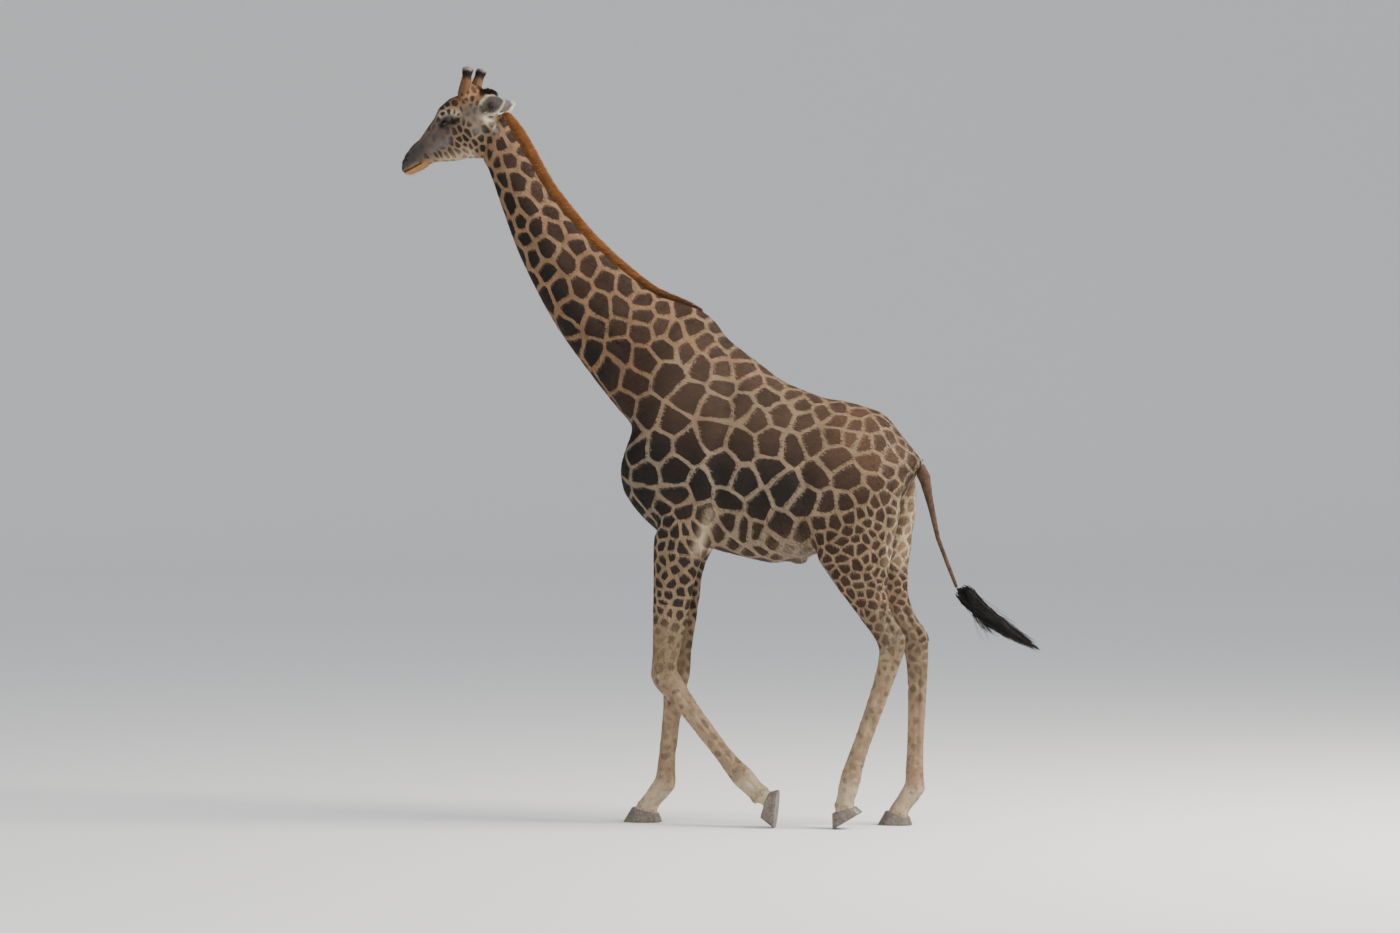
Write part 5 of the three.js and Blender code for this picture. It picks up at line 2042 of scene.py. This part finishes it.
def lash_paths(side):
    """Curved hairs along the upper lid of one eye, in the eye's own axes."""
    axes = eye_frame(side)
    across = np.linspace(-0.92, 0.95, LASHES) * LID_HALF_WIDTH + RANDOM.normal(0, 0.0004, LASHES)
    arc = (LID_HALF_WIDTH**2 + LID_RISE["upper"] ** 2) / (2 * LID_RISE["upper"])
    height = LID_RISE["upper"] - arc + np.sqrt(arc**2 - across**2)
    out = ball_height(EYE_RADIUS, across, height) + LID_THICKNESS
    roots = np.column_stack((across, height + 0.0008, out)) @ axes + np.array(EYES[side])
    ways = np.column_stack((across * 14, np.full(LASHES, -0.10), np.full(LASHES, 1.0))) @ axes
    fall = -0.75 * axes[1] + 0.25 * axes[0]
    return bent_paths(roots, unit(ways), RANDOM.uniform(0.024, 0.038, LASHES), fall)


paths = np.concatenate([lash_paths(side) for side in SIDES])
widths = np.full(len(paths), 0.0019)
colours = varied(TUFT_BLACK * 0.5, len(paths), 0.1)
strands("lashes", paths, widths, colours, box_chart(paths[:, 0], 0, 1), LONG_HAIR, "face_coat")
print("lashes:", len(paths))


# %% Fringes and whiskers
def hide_strands(name, wanted, count, length, width, lift, colour, slot, away=0.12):
    """Strands on the hide where wanted is above 0, along the lie of the hair and lifted off it."""
    chosen, shares = roots_on(wanted[tri_verts].mean(axis=1), count)
    roots = between(hide_points, chosen, shares)
    outwards = unit(between(hide_normals, chosen, shares))
    lies = unit(between(hide_lie, chosen, shares) + RANDOM.normal(0, away, (count, 3)))
    ways = unit(lies * (1 - lift) + outwards * lift)
    sizes = length * RANDOM.uniform(0.6, 1.1, count)
    paths = bent_paths(roots - outwards * 0.001, ways, sizes, lies * 0.25, 4)
    paths[..., 2] = np.maximum(paths[..., 2], 0.002)
    colours = varied(colour, count, 0.25)
    return strands(name, paths, np.full(count, width), colours, box_chart(roots, 0, 2), LONG_HAIR, slot)


LIP_LINE = [(0.02, -0.05), (0.10, -0.06)]
ear_rims = sum(
    part_share["ear"] * (face_out * sign > 0) * ramp(np.abs(in_ear(side, hide_points)[1]), 0.78, 0.96)
    * (in_ear(side, hide_points)[0] > 0.08)
    for side, sign in SIDES.items()
)
ear_inside = ear_hollow * sum(
    (face_out * sign > 0) * (0.25 + ramp(np.abs(in_ear(side, hide_points)[1]), 0.35, 0.80))
    * ramp(-in_ear(side, hide_points)[0], -0.75, -0.45)
    for side, sign in SIDES.items()
)
poll_tuft = poll * ramp(-np.abs(face_out), -0.05, -0.02)
lower_lip = part_share["head"] * faded(flat_distance(face_along, face_up, LIP_LINE), 0.018)
hide_strands("ear_fringe", ear_rims, 2000, 0.017, 0.0014, 0.12, WHITE, "ear_coat", 0.30)
hide_strands("ear_hair", ear_inside, 1000, 0.026, 0.0008, 0.22, CREAM * 0.6, "ear_coat", 0.20)
hide_strands("poll_hair", poll_tuft, 1000, 0.022, 0.0022, 0.55, DARK_BROWN, "mane_hair", 0.25)
hide_strands("whiskers", lower_lip, 160, 0.024, 0.0007, 0.70, CREAM, "face_coat", 0.35)
above = np.zeros(len(hide_points))
for leg in LEG_NAMES:
    fetlock, coronet = ends_of_pastern(leg)
    down = (hide_points - coronet) @ unit(coronet - fetlock)
    above += near(hide_points, coronet, 0.12) * faded(down + 0.016, 0.012)
hide_strands("hoof_fringe", above, 2000, 0.020, 0.0018, 0.05, CREAM * 0.7, "pale_coat", 0.15)

# %% [markdown]
# ## Horns and hooves
# A giraffe's horns are bone covered with skin. Short hair grows on them, black round the top, and they
# are worn bald at the very end. The hooves have two claws each, and rings of growth on their walls.

# %% Horns
HORN_BROWN = tone(108, 76, 50)
HORN_BLACK = tone(34, 27, 24)
HORN_BALD = tone(128, 118, 108)


def horn_colour(points, axis, low, high):
    """Brown, black round the top and down the front, and grey on the bald end."""
    share = (points @ axis - low) / (high - low)
    front = unit(np.array(HEAD_TO_WORLD.to_3x3()) @ (-1.0, 0.0, 0.2))
    middle = points.mean(axis=0)
    off = points - middle - ((points - middle) @ axis)[:, None] * axis
    facing = ramp((unit(off) @ front), 0.55, 0.95)
    rough = np.array([noise.noise(Vector(p) * 60.0) for p in points])
    black = np.maximum(ramp(share + 0.05 * rough, 0.60, 0.74), 0.85 * facing * ramp(share, 0.05, 0.3))
    bald = ramp(share + 0.04 * rough, 0.86, 0.91)
    colour = HORN_BROWN * (1 - black[:, None]) + HORN_BLACK * black[:, None]
    return colour * (1 - bald[:, None]) + HORN_BALD * bald[:, None], bald


def horn(side):
    mesh = finer_solid([f"ossicone_{side}"], 0.0036, 6)
    grown_in(mesh, 0.0012)
    points = places(mesh)
    axis = np.linalg.svd(points - points.mean(axis=0), full_matrices=False)[2][0]
    axis *= np.sign(axis[2])
    low, high = (points @ axis).min(), (points @ axis).max()
    lumps = np.array([noise.noise(Vector(p) * 45.0) for p in points])
    put(mesh, points + normals(mesh) * (lumps * 0.0012)[:, None])
    tinted(mesh, horn_colour(points, axis, low, high)[0] * 0.9)
    smooth_shaded(show(f"horn_{side}", mesh, FUR, "horn_coat", [f"ossicone_{side}"]))

    roots, out = surface_samples(mesh, 3600)
    colours, bald = horn_colour(roots, axis, low, high)
    share = (roots @ axis - low) / (high - low)
    kept = (bald < 0.4) & (share > 0.0)
    roots, out, share, colours = roots[kept], out[kept], share[kept], colours[kept]
    lies = unit(axis - (out @ axis)[:, None] * out + RANDOM.normal(0, 0.2, roots.shape))
    lies = unit(lies - (lies * out).sum(axis=1)[:, None] * out)
    rim = ramp(share, 0.60, 0.78)
    lengths = 0.010 + 0.008 * rim
    lifts = 0.0015 + 0.0035 * rim
    colours = colours * RANDOM.uniform(0.75, 1.2, len(roots))[:, None]
    spots = box_chart(roots, 1, 2)
    widths = np.full(len(roots), 0.0026)
    name = f"horn_fur_{side}"
    blades(name, roots, out, lies, lengths, widths, lifts, colours, spots, FUR, "horn_coat")


for side in SIDES:
    horn(side)

# %% Hooves
RING_SPACING = 0.0085
RING_HEIGHT = 0.0006
SOLE_LIFT = 0.0003


def hoof_material():
    material, graph, shader = new_material("hoof_horn", 0.45)
    place = graph.node("ShaderNodeTexCoord").outputs["Object"]
    grain = graph.noise(place, 60.0, 4.0, 0.6)
    worn = graph.mix(graph.spread(grain, 0.35, 0.70), (*tone(84, 76, 68), 1), (*tone(116, 106, 94), 1))
    graph.feed(worn, shader.inputs["Base Color"])
    bump = graph.node("ShaderNodeBump")
    bump.inputs["Strength"].default_value = 0.4
    bump.inputs["Distance"].default_value = 0.001
    graph.feed(graph.noise(place, 240.0, 3.0), bump.inputs["Height"])
    graph.feed(bump.outputs["Normal"], shader.inputs["Normal"])
    return material


HOOF = hoof_material()
for leg in LEG_NAMES:
    claws = [f"hoof_{leg}_a", f"hoof_{leg}_b"]
    hoof = finer_solid(claws, 0.0042, 3)
    points, out = places(hoof), normals(hoof)
    fetlock, coronet = ends_of_pastern(leg)
    down = unit(coronet - fetlock)
    wall = 1 - ramp(np.abs(out[:, 2]), 0.6, 0.9)
    rings = np.sin((points @ down) / RING_SPACING * 2 * math.pi + 2 * np.sin(points[:, 0] * 40))
    points = points + out * (rings * RING_HEIGHT * wall)[:, None]
    points[:, 2] = np.maximum(points[:, 2], SOLE_LIFT)
    put(hoof, points)
    piece = smooth_shaded(show(f"hooves_{leg}", hoof, HOOF, "hoof_horn", claws))
    print(piece.name, triangles(piece), "triangles")


# %% [markdown]
# ## Sizes
# The box of the solids is printed again at the end.

# %% Print the box of the solids
print("solids:", CAD_BOX)
